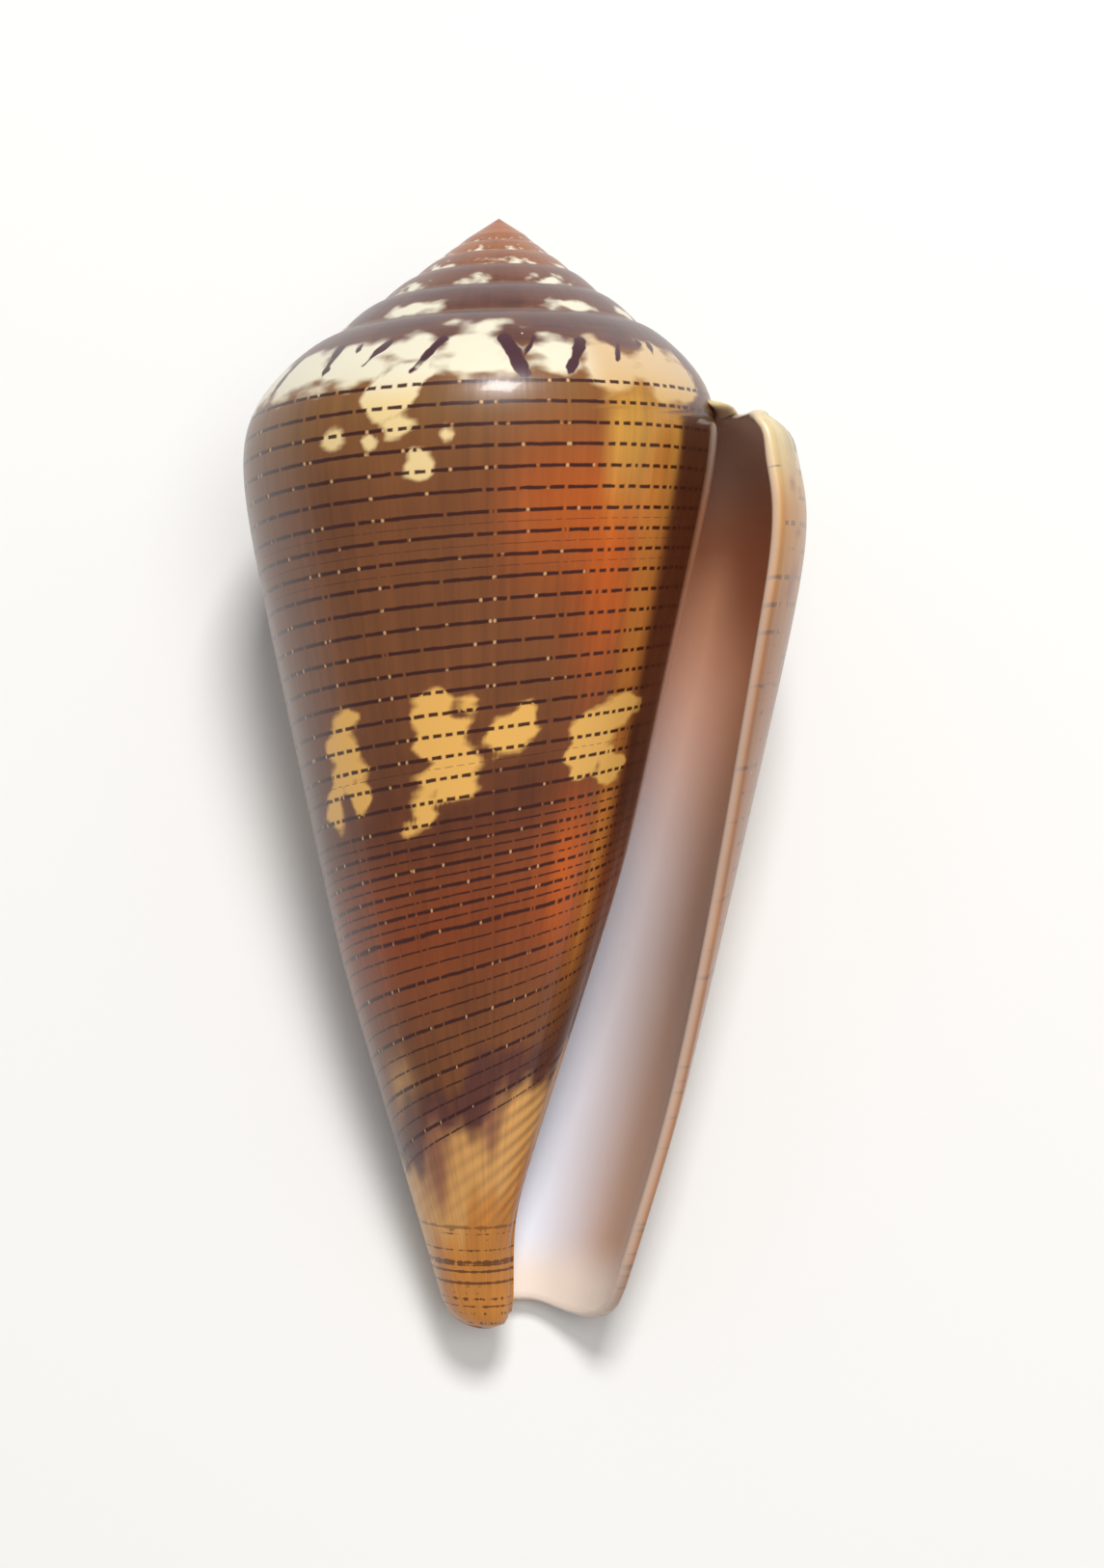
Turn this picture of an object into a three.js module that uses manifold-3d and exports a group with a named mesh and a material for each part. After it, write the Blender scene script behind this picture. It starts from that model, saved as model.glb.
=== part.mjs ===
// A cone shell: one solid wall of lime, grown as one spiral tube that widens by the same factor every turn.
// Shell frame: the coiling axis is the straight line from the apex to the front tip. A point is given by
//   angle  growth angle in degrees: 0 at the lip, minus 360 one turn earlier, and so on back to the apex
//   drop   distance from the apex along the coiling axis, mm
//   radius distance from the coiling axis, mm
// The solid is the outer shape less the room of the animal, laid on its back with the opening up.

import * as THREE from "three";
import { mergeVertices } from "three/addons/utils/BufferGeometryUtils.js";
import Module from "manifold-3d";

// ---- driving dimensions, mm and degrees ----
const SHELL_LENGTH = 59.35; // apex to front tip
const GROWTH_PER_TURN = 1.37; // size of a whorl over the size of the one before it
const LIP_BEARING = -30; // where the lip stands round the axis, from the right-hand side

const RAMP_SLOPE = 1.38; // the flat-topped spire: radius gained per mm of drop
const RAMP_OFFSET = 0.12;
const SIDE_START = 20.37; // radius the straight side would have level with the apex
const SIDE_SLOPE = 0.22; // radius lost per mm of drop
const SHOULDER_SHARPNESS = 5.62; // how tightly ramp and side meet
const HOLLOW_START = 48; // drop at which the side draws in towards the front tip
const HOLLOW_SLOPE = 0.1;
const HOLLOW_BLEND = 2;
const COLUMN_RADIUS = 1.05; // the pillar round the axis at the front end
const COLUMN_BLEND = 0.25;
const LEAST_DROP = 0.01;
const LEAST_SIDE = 0.3; // the straight side never gets thinner than this
const TIP_ROUND_START = 57.1; // drop at which the pillar's end begins to round over
const LIP_FLARE = 0.66; // extra radius at the lip
const LIP_FLARE_SPAN = 100;
const LIP_SAG = 0.57; // extra drop at the lip
const LIP_SAG_SPAN = 150;

const SUTURE_DROP = 8.605; // drop of the seam between whorls, at full size
const SUTURE_BASE = 0.35;
const SUTURE_FALL = 1.95; // the seam falls this much more towards the lip
const SUTURE_FALL_START = -115;
const SUTURE_FALL_SPAN = 85;
const SEAM_CHANNEL = 0.35; // width of the small gutter below the seam

const LIP_ROOT = -12; // growth angle where the lip joins the whorl before it
const LIP_ROOT_RISE = 1.5;
const SINUS_DEPTH = 22; // the bay in the lip just below the seam
const SINUS_CENTRE = 0.55;
const SINUS_WIDTH = 0.4;
const SINUS_EASE = 0.15;
const LIP_LEAN = 12; // the front end of the lip stands back by this much
const LIP_LEAN_START = 20;
const LIP_LEAN_SPAN = 32;
const LOBE_TURN = 46; // the lower corner of the lip rounds back by this much
const LOBE_ROUND_START = 53.3;
const LOBE_END = 58.75;
const LIP_SHOULDER = 0.75; // the shoulder stands up by this much at the lip
const LIP_SHOULDER_DROP = 11.6;
const LIP_SHOULDER_WIDTH = 1.6;
const LIP_SHOULDER_START = -32;
const LIP_SHOULDER_SPAN = 20;
const LIP_DIP = 0.65; // the ramp dips by this much just behind the lip
const LIP_DIP_DROP = 10.6;
const LIP_DIP_WIDTH = 0.9;
const LIP_DIP_START = -80;
const LIP_DIP_SPAN = 40;
const LIP_DIP_END = -26;
const LIP_DIP_FADE = 22;

const WALL_AT_LIP = 0.6;
const WALL_INSIDE = 1.9;
const WALL_SPAN = 150;
const THIN_TOP = 0.45; // the top of the lip is thinner by this share
const THIN_TOP_SPAN = 90;
const THIN_TOP_DROP = 4;
const GLAZE = 0.12; // thin layer laid over the whorl before, inside the opening

const VOID_START = -500; // how far back the room of the animal is open
const VOID_END = 12;
const OPEN_FROM = -230; // the room is open at the front end from here
const OPEN_SPAN = 60;
const CLOSED_FRONT = 57; // front end of the closed part of the room, at full size
const NOTCH_EDGE = 58.12; // front edge of the wall in the notch
const LOBE_EXTRA = 0.57; // the lip reaches this much further than the notch
const LOBE_START = -88;
const LOBE_SPAN = 38;
const CUT_CLEARANCE = 1.2; // how far the room's cut reaches past the wall in the notch
const CUT_END = 62;
const CUT_STEP = 0.02;
const ROOF_GAP = 0.2; // width of the room at its roof
const ROOF_SEARCH = 0.01;
const CORNER_START = 0.3; // the closed front end of the room is rounded: shares of its width
const CORNER_MIDDLE = 0.84;
const CORNER_DROP = 0.1;
const CORNER_END = 0.6;

const RESTING_ROLL = 0; // turn about the coiling axis that brings the back of the shell down
const RESTING_TILT = 12.4; // lays the straight side level
const FLAT_DEPTH = 1; // the worn flat on the back that the shell lies on

// ---- mesh fineness ----
const COLUMNS = 48; // round one turn
const SPIRE_TURNS = 3; // turns of the spire whose seams are drawn
const RAMP_STEPS = [0, 0.06, 0.14, 0.22, 0.31, 0.45, 0.7, 1]; // seam to next seam
const SIDE_STEPS = [
  0.008, 0.018, 0.03, 0.047, 0.07, 0.11, 0.17, 0.25, 0.34, 0.44, 0.54,
  0.63, 0.72, 0.8, 0.86, 0.905, 0.935, 0.956, 0.97, 0.982, 0.991, 0.997,
]; // next seam to front tip
const LIP_COLUMNS = 12; // columns over which the grid swings round to follow the edge of the lip
const VOID_STEP = 9; // degrees between sections of the room
const VOID_ROWS = [0, 0.012, 0.03, 0.055, 0.09, 0.14, 0.21, 0.3, 0.42, 0.55, 0.68, 0.8, 0.9, 0.96, 1];
const FRONT_SHARES = [0, 0.05, 0.15, 0.4, 0.75]; // rows that round off the pillar, tip to notch edge
const SETTLING_PASSES = 200;
const SETTLING_STEP = 0.15;
const AXIS_CLEARANCE = 0.03;
const TURN = 360;
const APEX_RING_RADIUS = 0.4;
const APEX_RING_DROP = 0.14;

function ease(value) {
  const x = Math.min(Math.max(value, 0), 1);
  return x * x * (3 - 2 * x);
}

function mix(a, b, share) {
  return a + (b - a) * share;
}

function softMax(a, b, blend) {
  return (a + b) / 2 + Math.hypot((a - b) / 2, blend);
}

function growth(angle) {
  return GROWTH_PER_TURN ** (angle / TURN);
}

// A bell over the drop: 1 at the middle, fading to both sides.
function bell(drop, middle, width) {
  return Math.exp(-(((drop - middle) / width) ** 2));
}

// Extra radius near the lip: the shoulder stands up at the lip, with a dip in the ramp just behind it.
function lipSwell(angle, drop) {
  const rise = ease((angle - LIP_SHOULDER_START) / LIP_SHOULDER_SPAN);
  const dipIn = ease((angle - LIP_DIP_START) / LIP_DIP_SPAN);
  const dipOut = 1 - ease((angle - LIP_DIP_END) / LIP_DIP_FADE);
  const shoulder = LIP_SHOULDER * rise * bell(drop, LIP_SHOULDER_DROP, LIP_SHOULDER_WIDTH);
  return shoulder - LIP_DIP * dipIn * dipOut * bell(drop, LIP_DIP_DROP, LIP_DIP_WIDTH);
}

// Radius of the whorl at a growth angle: the smooth lesser of a cone (the ramp) and a steep cone (the side).
function whorlRadius(angle, drop) {
  const size = growth(angle);
  const sag = LIP_SAG * ease((angle + LIP_SAG_SPAN) / LIP_SAG_SPAN);
  const unit = Math.max(drop - sag, LEAST_DROP) / size;
  const ramp = RAMP_SLOPE * unit + RAMP_OFFSET;
  const hollow = HOLLOW_SLOPE * softMax(unit - HOLLOW_START, 0, HOLLOW_BLEND);
  const side = Math.max(SIDE_START - SIDE_SLOPE * unit - hollow, LEAST_SIDE);
  const power = SHOULDER_SHARPNESS;
  const both = (ramp ** -power + side ** -power) ** (-1 / power);
  const flare = LIP_FLARE * ease((angle + LIP_FLARE_SPAN) / LIP_FLARE_SPAN);
  return softMax(size * both + flare + lipSwell(angle, drop), COLUMN_RADIUS, COLUMN_BLEND);
}

// Drop of the seam at which the whorl at this growth angle begins.
function sutureDrop(angle) {
  const fall = SUTURE_FALL * ease((angle - SUTURE_FALL_START) / SUTURE_FALL_SPAN);
  return SUTURE_DROP * growth(angle) - SUTURE_BASE + fall;
}

// Radius of the outside where this whorl shows: level with the whorl before, then out of a gutter.
function shownRadius(angle, drop) {
  const seam = sutureDrop(angle);
  const step = whorlRadius(angle, seam) - whorlRadius(angle - TURN, seam);
  const below = Math.max(drop - seam, 0) / (SEAM_CHANNEL * growth(angle));
  return whorlRadius(angle, drop) - step * Math.exp(-below);
}

// Falls from 1 to 0 along a rounded corner between two drops.
function corner(drop, start, end) {
  const x = Math.min(Math.max((drop - start) / (end - start), 0), 1);
  return Math.cbrt(1 - x * x * x);
}

// The pillar's end rounds over to a point; the wall round the notch does not.
function tipFactor(angle, drop) {
  return mix(corner(drop, TIP_ROUND_START, SHELL_LENGTH), 1, ease((angle - OPEN_FROM) / OPEN_SPAN));
}

function wallThickness(angle, drop) {
  const nearTop = 1 - ease((drop - sutureDrop(angle)) / THIN_TOP_DROP);
  const thin = THIN_TOP * nearTop * ease((angle + THIN_TOP_SPAN) / THIN_TOP_SPAN);
  return mix(WALL_AT_LIP, WALL_INSIDE, ease(-angle / WALL_SPAN)) * (1 - thin);
}

// Growth angle of the lip's edge at a drop: a bay below the seam, forward, leaning back, then rounded off.
function lipAngle(drop) {
  const below = Math.max(drop - sutureDrop(LIP_ROOT), 0);
  const root = LIP_ROOT * (1 - ease(below / LIP_ROOT_RISE));
  const bay = SINUS_DEPTH * bell(below, SINUS_CENTRE, SINUS_WIDTH) * (1 - bell(below, 0, SINUS_EASE));
  const lean = LIP_LEAN * ease((drop - LIP_LEAN_START) / LIP_LEAN_SPAN);
  return root - bay - lean - LOBE_TURN * (1 - corner(drop, LOBE_ROUND_START, LOBE_END));
}

function place(angle, radius, drop) {
  const bearing = THREE.MathUtils.degToRad(LIP_BEARING - angle);
  return [radius * Math.cos(bearing), -drop, -radius * Math.sin(bearing)];
}

function rowDrop(angle, row) {
  const top = sutureDrop(angle);
  const next = sutureDrop(angle + TURN);
  const last = RAMP_STEPS.length - 1;
  if (row <= last) {
    return mix(top, next, RAMP_STEPS[row]);
  }
  return mix(next, SHELL_LENGTH, SIDE_STEPS[row - last - 1]);
}

// Edge of the lip along one row, found by repeating because drop and angle depend on each other.
function rowLipAngle(row, turnsBack) {
  let edge = LIP_ROOT;
  for (let pass = 0; pass < SETTLING_PASSES; pass += 1) {
    const drop = rowDrop(edge - TURN * turnsBack, row);
    edge = mix(edge, lipAngle(drop), SETTLING_STEP);
  }
  return edge;
}

// Splits a four-cornered patch along its shorter diagonal.
function splitQuad([a, b, c, d], points) {
  const span = (p, q) => Math.hypot(...points[p].map((value, axis) => value - points[q][axis]));
  return span(a, c) <= span(b, d) ? [[a, b, c], [a, c, d]] : [[a, b, d], [b, c, d]];
}

function outerShape() {
  const rampRows = RAMP_STEPS.length - 1;
  const allRows = rampRows + SIDE_STEPS.length;
  const lipColumn = COLUMNS * (SPIRE_TURNS + 1);
  const bodyColumn = lipColumn - COLUMNS;
  const points = [];
  const faces = [];
  const ids = new Map();
  const edgeNow = [];
  const edgeBefore = [];
  for (let row = 0; row <= allRows; row += 1) {
    edgeNow.push(rowLipAngle(row, 0));
    edgeBefore.push(rowLipAngle(row, 1));
  }
  const tip = points.push(place(0, 0, SHELL_LENGTH)) - 1;
  const apex = points.push(place(0, 0, 0)) - 1;

  function vertex(column, row) {
    if (row === rampRows && column <= bodyColumn) {
      return vertex(column + COLUMNS, 0);
    }
    const key = column * (allRows + 1) + row;
    if (!ids.has(key)) {
      const nearStart = Math.max(1 - Math.max(column - bodyColumn, 0) / LIP_COLUMNS, 0);
      const nearLip = Math.max(1 - (lipColumn - column) / LIP_COLUMNS, 0);
      const swing = (edgeBefore[row] - LIP_ROOT) * nearStart + (edgeNow[row] - LIP_ROOT) * nearLip;
      const angle = ((column - lipColumn) * TURN) / COLUMNS + LIP_ROOT + swing;
      const drop = rowDrop(angle, row);
      const radius = shownRadius(angle, drop) * tipFactor(angle, drop);
      ids.set(key, points.push(place(angle, radius, drop)) - 1);
    }
    return ids.get(key);
  }

  for (let column = 0; column < lipColumn; column += 1) {
    const rows = column < bodyColumn ? rampRows : allRows;
    for (let row = 0; row < rows; row += 1) {
      const corners = [
        vertex(column, row),
        vertex(column + 1, row),
        vertex(column + 1, row + 1),
        vertex(column, row + 1),
      ];
      faces.push(...splitQuad(corners, points));
    }
    if (column >= bodyColumn) {
      faces.push([vertex(column, allRows), vertex(column + 1, allRows), tip]);
    }
  }

  // the rounded apex
  const ring = [];
  for (let column = 0; column < COLUMNS; column += 1) {
    const angle = ((column - lipColumn) * TURN) / COLUMNS + LIP_ROOT;
    ring.push(points.push(place(angle, APEX_RING_RADIUS, APEX_RING_DROP)) - 1);
  }
  for (let column = 0; column < COLUMNS; column += 1) {
    const here = ring[column];
    const there = ring[(column + 1) % COLUMNS];
    faces.push([vertex(column + 1, 0), vertex(column, 0), here]);
    faces.push([vertex(column + 1, 0), here, there]);
    faces.push([there, here, apex]);
  }
  for (let row = 0; row < rampRows; row += 1) {
    faces.push([vertex(0, row), vertex(0, row + 1), ring[0]]);
  }

  // the end face of the last whorl, between its outside and the whorl it sits on
  const outside = [];
  const inside = [];
  for (let row = 0; row <= allRows; row += 1) {
    outside.push(vertex(lipColumn, row));
    if (row >= rampRows) {
      inside.push(vertex(bodyColumn, row));
    }
  }
  outside.push(tip);
  inside.push(tip);
  let o = 0;
  let i = 0;
  while (o < outside.length - 1 || i < inside.length - 1) {
    const nextOut = o + 1 < outside.length ? -points[outside[o + 1]][1] : Infinity;
    const nextIn = i + 1 < inside.length ? -points[inside[i + 1]][1] : Infinity;
    if (nextOut <= nextIn) {
      faces.push([outside[o + 1], outside[o], inside[i]]);
      o += 1;
    } else {
      faces.push([inside[i], inside[i + 1], outside[o]]);
      i += 1;
    }
  }
  return { points, faces };
}

// Radius of the inside of the wall: the outside moved in by the wall's thickness, whichever way it faces.
function innerWallRadius(angle, drop) {
  const wall = wallThickness(angle, drop);
  const underRoof = shownRadius(angle, drop - wall * Math.hypot(1, RAMP_SLOPE) / RAMP_SLOPE);
  const behindSide = shownRadius(angle, drop) - wall * Math.hypot(1, SIDE_SLOPE);
  return Math.min(underRoof, behindSide);
}

function floorRadius(angle, drop) {
  return whorlRadius(angle - TURN, drop) + GLAZE;
}

function roofDrop(angle) {
  let drop = sutureDrop(angle);
  while (innerWallRadius(angle, drop) - floorRadius(angle, drop) < ROOF_GAP) {
    drop += ROOF_SEARCH;
  }
  return drop;
}

function frontEdge(angle) {
  return NOTCH_EDGE + LOBE_EXTRA * ease((angle - LOBE_START) / LOBE_SPAN);
}

// One section of the room as a loop of [radius, drop]: down the wall, across the front, up the whorl before.
function voidSection(angle) {
  const roof = roofDrop(angle);
  const open = ease((angle - OPEN_FROM) / OPEN_SPAN);
  const closedEnd = CLOSED_FRONT * growth(angle);
  const closedInner = floorRadius(angle, closedEnd);
  const gap = innerWallRadius(angle, closedEnd) - closedInner;
  const wallEnd = mix(closedEnd - CORNER_START * gap, frontEdge(angle), open);
  const cutRadius = shownRadius(angle, frontEdge(angle)) + CUT_CLEARANCE;
  const middleRadius = mix(closedInner + CORNER_MIDDLE * gap, cutRadius, open);
  const middleDrop = mix(closedEnd - CORNER_DROP * gap, frontEdge(angle) + CUT_STEP, open);
  const endRadius = mix(closedInner + CORNER_END * gap, cutRadius, open);
  const endDrop = mix(closedEnd, CUT_END, open);
  const pillarRadius = mix(closedInner + CORNER_END * gap, AXIS_CLEARANCE, open);
  const outer = VOID_ROWS.map((share) => {
    const drop = mix(roof, wallEnd, share);
    return [innerWallRadius(angle, drop), drop];
  });
  const front = FRONT_SHARES.map((share, n) => {
    const turn = (Math.PI * (n + 1)) / (2 * FRONT_SHARES.length + 2);
    const closedRadius = closedInner + CORNER_END * gap * (1 - Math.sin(turn));
    const closedDrop = closedEnd - CORNER_START * gap * (1 - Math.cos(turn));
    const openDrop = mix(SHELL_LENGTH - CUT_STEP, frontEdge(angle), share);
    const openRadius = floorRadius(angle, openDrop) * tipFactor(angle - TURN, openDrop) + AXIS_CLEARANCE;
    return [mix(closedRadius, openRadius, open), mix(closedDrop, openDrop, open)];
  });
  const inner = VOID_ROWS.map((share) => {
    const drop = mix(roof, wallEnd, share);
    return [floorRadius(angle, drop) * tipFactor(angle - TURN, drop), drop];
  }).reverse();
  const corners = [[middleRadius, middleDrop], [endRadius, endDrop], [pillarRadius, endDrop]];
  return [...outer, ...corners, ...front, ...inner];
}

function roomShape() {
  const stations = Math.round((VOID_END - VOID_START) / VOID_STEP);
  const points = [];
  const faces = [];
  let loop = 0;
  for (let s = 0; s <= stations; s += 1) {
    const angle = mix(VOID_START, VOID_END, s / stations);
    const section = voidSection(angle);
    loop = section.length;
    for (const [radius, drop] of section) {
      points.push(place(angle, radius, drop));
    }
  }
  for (let s = 0; s < stations; s += 1) {
    for (let k = 0; k < loop; k += 1) {
      const next = (k + 1) % loop;
      const a = s * loop + k;
      const b = (s + 1) * loop + k;
      const c = (s + 1) * loop + next;
      const d = s * loop + next;
      faces.push([a, b, c], [a, c, d]);
    }
  }
  // close both ends: strips between the wall and the whorl before, then a fan over the front end
  const far = stations * loop;
  const lastRow = VOID_ROWS.length - 1;
  const frontCorner = VOID_ROWS.length + 1;
  const caps = [];
  for (let row = 0; row < lastRow; row += 1) {
    caps.push([row, row + 1, loop - 2 - row], [row, loop - 2 - row, loop - 1 - row]);
  }
  for (let k = frontCorner + 1; k < loop - 1 - lastRow; k += 1) {
    caps.push([frontCorner, k, k + 1]);
  }
  caps.push([frontCorner, loop - 1 - lastRow, lastRow], [frontCorner, lastRow, lastRow + 1]);
  for (const [a, b, c] of caps) {
    faces.push([a, b, c], [far + c, far + b, far + a]);
  }
  return { points, faces };
}

// Turns a list of points and faces the right way out and lays it in the resting pose.
function geometryOf({ points, faces }) {
  let volume = 0;
  const corner = faces[0].map(() => new THREE.Vector3());
  for (const face of faces) {
    face.forEach((id, n) => corner[n].fromArray(points[id]));
    volume += corner[0].dot(corner[1].clone().cross(corner[2]));
  }
  const geometry = new THREE.BufferGeometry();
  const index = faces.flatMap((face) => (volume < 0 ? [face[0], face[2], face[1]] : face));
  geometry.setAttribute("position", new THREE.Float32BufferAttribute(points.flat(), 3));
  geometry.setIndex(index);
  geometry.rotateY(THREE.MathUtils.degToRad(RESTING_ROLL));
  geometry.rotateX(THREE.MathUtils.degToRad(RESTING_TILT));
  return geometry;
}

const wasm = await Module();
wasm.setup();

function solidOf(geometry) {
  return new wasm.Manifold(
    new wasm.Mesh({
      numProp: 3,
      vertProperties: new Float32Array(geometry.attributes.position.array),
      triVerts: new Uint32Array(geometry.index.array),
    }),
  );
}

function meshOf(solid, name, material) {
  const result = solid.getMesh();
  const geometry = new THREE.BufferGeometry();
  geometry.setAttribute("position", new THREE.Float32BufferAttribute(Array.from(result.vertProperties), 3));
  geometry.setIndex(Array.from(result.triVerts));
  geometry.computeVertexNormals();
  const mesh = new THREE.Mesh(geometry, material);
  mesh.name = name;
  return mesh;
}

// Everything above the table, wide enough for the whole shell.
function aboveTable() {
  const size = 3 * SHELL_LENGTH;
  const block = new THREE.BoxGeometry(size, size, size);
  block.translate(0, 0, size / 2);
  block.deleteAttribute("normal");
  block.deleteAttribute("uv");
  return solidOf(mergeVertices(block));
}

function boxOf(solid) {
  const { min, max } = solid.boundingBox();
  return new THREE.Box3(new THREE.Vector3(...min), new THREE.Vector3(...max));
}

const outer = solidOf(geometryOf(outerShape()));
const room = solidOf(geometryOf(roomShape()));
const shell = outer.subtract(room);
const lowered = shell.translate([0, 0, -boxOf(shell).min.z - FLAT_DEPTH]);
const resting = lowered.intersect(aboveTable());
const middle = boxOf(resting).getCenter(new THREE.Vector3());
const centred = resting.translate([-middle.x, -middle.y, 0]);

const porcelain = new THREE.MeshStandardMaterial({ color: 0x7a4a24, roughness: 0.22, metalness: 0 });
const part = new THREE.Group();
part.name = "cone_shell";
part.add(meshOf(centred, "shell", porcelain));

export default part;
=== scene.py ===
"""Looks of a cone shell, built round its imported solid: a glossy chestnut shell with dashed spiral lines
and cream patches, lying on its back on a pale floor.

Shell frame, millimetres: angle is the growth angle (0 at the lip, minus 360 one turn earlier), drop is
the distance from the apex along the coiling axis, radius is the distance from that axis. Height means
drop at full size: it is the same all along one spiral line, because every whorl is a scaled copy of the
last.
"""

import math

import bmesh
import bpy
import numpy as np
from mathutils import Matrix, Vector


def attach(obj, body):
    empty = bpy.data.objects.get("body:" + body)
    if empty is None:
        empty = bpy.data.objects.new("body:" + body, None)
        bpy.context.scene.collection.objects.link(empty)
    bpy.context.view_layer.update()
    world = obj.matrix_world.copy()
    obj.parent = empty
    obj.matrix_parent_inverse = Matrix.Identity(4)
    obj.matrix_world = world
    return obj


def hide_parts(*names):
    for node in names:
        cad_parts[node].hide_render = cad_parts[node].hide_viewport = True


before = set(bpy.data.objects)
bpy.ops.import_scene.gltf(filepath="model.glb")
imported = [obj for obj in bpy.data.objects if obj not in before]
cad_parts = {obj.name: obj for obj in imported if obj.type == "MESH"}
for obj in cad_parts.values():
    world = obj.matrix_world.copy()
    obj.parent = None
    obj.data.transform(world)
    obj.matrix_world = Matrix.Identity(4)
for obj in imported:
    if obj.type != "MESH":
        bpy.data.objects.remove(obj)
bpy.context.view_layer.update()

MM = 0.001
TURN = 360.0

# ---- the growth of the shell in mm and degrees, the same numbers as the solid ----
SHELL_LENGTH = 59.35
GROWTH_PER_TURN = 1.37
LIP_BEARING = -30.0
RAMP_SLOPE = 1.38
RAMP_OFFSET = 0.12
SIDE_START = 20.37
SIDE_SLOPE = 0.22
LEAST_SIDE = 0.3
LEAST_HEIGHT = 0.01
SHOULDER_SHARPNESS = 5.62
HOLLOW_START = 48.0
HOLLOW_SLOPE = 0.1
HOLLOW_BLEND = 2.0
COLUMN_RADIUS = 1.05
COLUMN_BLEND = 0.25
TIP_ROUND_START = 57.1
# the last whorl widens and drops towards the lip, and its seam falls away
LIP_FLARE = 0.66
LIP_FLARE_SPAN = 100.0
LIP_SAG = 0.57
LIP_SAG_SPAN = 150.0
SEAM_DROP = 8.605
SEAM_BASE = 0.35
SEAM_FALL = 1.95
SEAM_FALL_START = -115.0
SEAM_FALL_SPAN = 85.0
SEAM_CHANNEL = 0.35
# the edge of the lip: its root, the bay below the seam, the lean and the rounded lower corner
LIP_ROOT = -12.0
LIP_ROOT_RISE = 1.5
BAY_DEPTH = 22.0
BAY_CENTRE = 0.55
BAY_WIDTH = 0.4
BAY_EASE = 0.15
LIP_LEAN = 12.0
LIP_LEAN_START = 20.0
LIP_LEAN_SPAN = 32.0
LOBE_TURN = 46.0
LOBE_ROUND_START = 53.3
LOBE_END = 58.75
# the swell and the dip of the ramp near the lip
LIP_SHOULDER = 0.75
LIP_SHOULDER_DROP = 11.6
LIP_SHOULDER_WIDTH = 1.6
LIP_SHOULDER_START = -32.0
LIP_SHOULDER_SPAN = 20.0
LIP_DIP = 0.65
LIP_DIP_DROP = 10.6
LIP_DIP_WIDTH = 0.9
LIP_DIP_START = -80.0
LIP_DIP_SPAN = 40.0
LIP_DIP_END = -26.0
LIP_DIP_FADE = 22.0
# the wall, the front edge and how the shell lies
WALL_AT_LIP = 0.6
WALL_INSIDE = 1.9
WALL_SPAN = 150.0
THIN_TOP = 0.45
THIN_TOP_SPAN = 90.0
THIN_TOP_DROP = 4.0
NOTCH_EDGE = 58.12
LOBE_EXTRA = 0.57
LOBE_START = -88.0
LOBE_SPAN = 38.0
CLOSED_FRONT = 57.0
RESTING_TILT = 12.4
APEX_AT = (-1.4298, 28.9827, 16.9368)

# ---- the visual's own edges: the glaze on the floor of the room, the rounded rim and corners ----
GLAZE = 0.12
GLAZE_COLUMNS = 6.0
GLAZE_ROWS = 4.0
ROOF_FALL = 1.1
ROOF_FALL_AT_LIP = 0.3
OPENING_SPAN = 130.0
GAP_ROUNDING = 1.7
GAP_ROUNDING_AT_LIP = 5.0
WALL_CORNER = 0.12
RIM_BULGE = 0.28
LINING_START = 5
LINING_FADE = 3.0
APEX_CAP_DROP = 0.6

# ---- fineness of the surface ----
COLUMNS = 240
STEP = TURN / COLUMNS
SPIRE_TURNS = 5
RAMP_ROWS = 20
ROOF_ROWS = 5
SIDE_ROWS = 84
ROOF_SHARE = 0.1
LIP_SHARE = 0.45
LIP_ROWS = 10
LIP_COLUMNS = 40
NOTCH_COLUMNS = 133
ROOM_COLUMNS = 200
RIM_ROWS = 8
APEX_RINGS = 8
SETTLING_PASSES = 200
SETTLING_STEP = 0.15
WELD = 2e-6
SLIVER = 1e-7
NOTCH_MARGIN = 1e-6
LAST_ROW = RAMP_ROWS + ROOF_ROWS + SIDE_ROWS
ROOF_LINE = RAMP_ROWS + ROOF_ROWS
FIRST_BODY = SPIRE_TURNS * COLUMNS
LIP_COLUMN = FIRST_BODY + COLUMNS
NOTCH_ANGLE = LIP_ROOT - NOTCH_COLUMNS * STEP
NOTCH_SPAN = 35.0
TIP_SPAN = 60.0
CANAL_SPAN = 50.0
RAMP_SHARES = np.concatenate(
    [
        np.linspace(0, ROOF_SHARE, ROOF_ROWS + 1),
        np.linspace(ROOF_SHARE, LIP_SHARE, LIP_ROWS + 1)[1:],
        np.linspace(LIP_SHARE, 1, RAMP_ROWS - ROOF_ROWS - LIP_ROWS + 1)[1:],
    ]
)
SIDE_WAY = np.linspace(0, 1, SIDE_ROWS + 1)
SIDE_CROWDING = 0.5
SIDE_SHARES = SIDE_WAY - SIDE_CROWDING * np.sin(2 * np.pi * SIDE_WAY) / (2 * np.pi)

# ---- colours of the shell, sRGB hex ----
CHESTNUT = "6f401f"
OLIVE_TAN = "765228"
DARK_CHESTNUT = "461d0e"
RED_BROWN = "83380f"
ORANGE_GLOW = "b8540e"
YELLOW_GROUND = "c48e3a"
SCAR_TAN = "bd7430"
PURPLE_BROWN = "4a2526"
RAMP_PURPLE = "4e2e2c"
SPIRE_BROWN = "653a2a"
APEX_ORANGE = "98582c"
RIDGES_TAN = "c28e50"
RIDGES_PURPLE = "7d4a3c"
TIP_TAN = "b67531"
LIP_YELLOW = "b47c2e"
LIP_ORANGE = "94520f"
LIP_BLOTCH = "80380c"
LIP_CREAM = "dcc48a"
LIP_PURPLE = "55302e"
PATCH_WHITE = "dcd5bd"
PATCH_CREAM = "dfc38a"
PATCH_YELLOW = "dda856"
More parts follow.
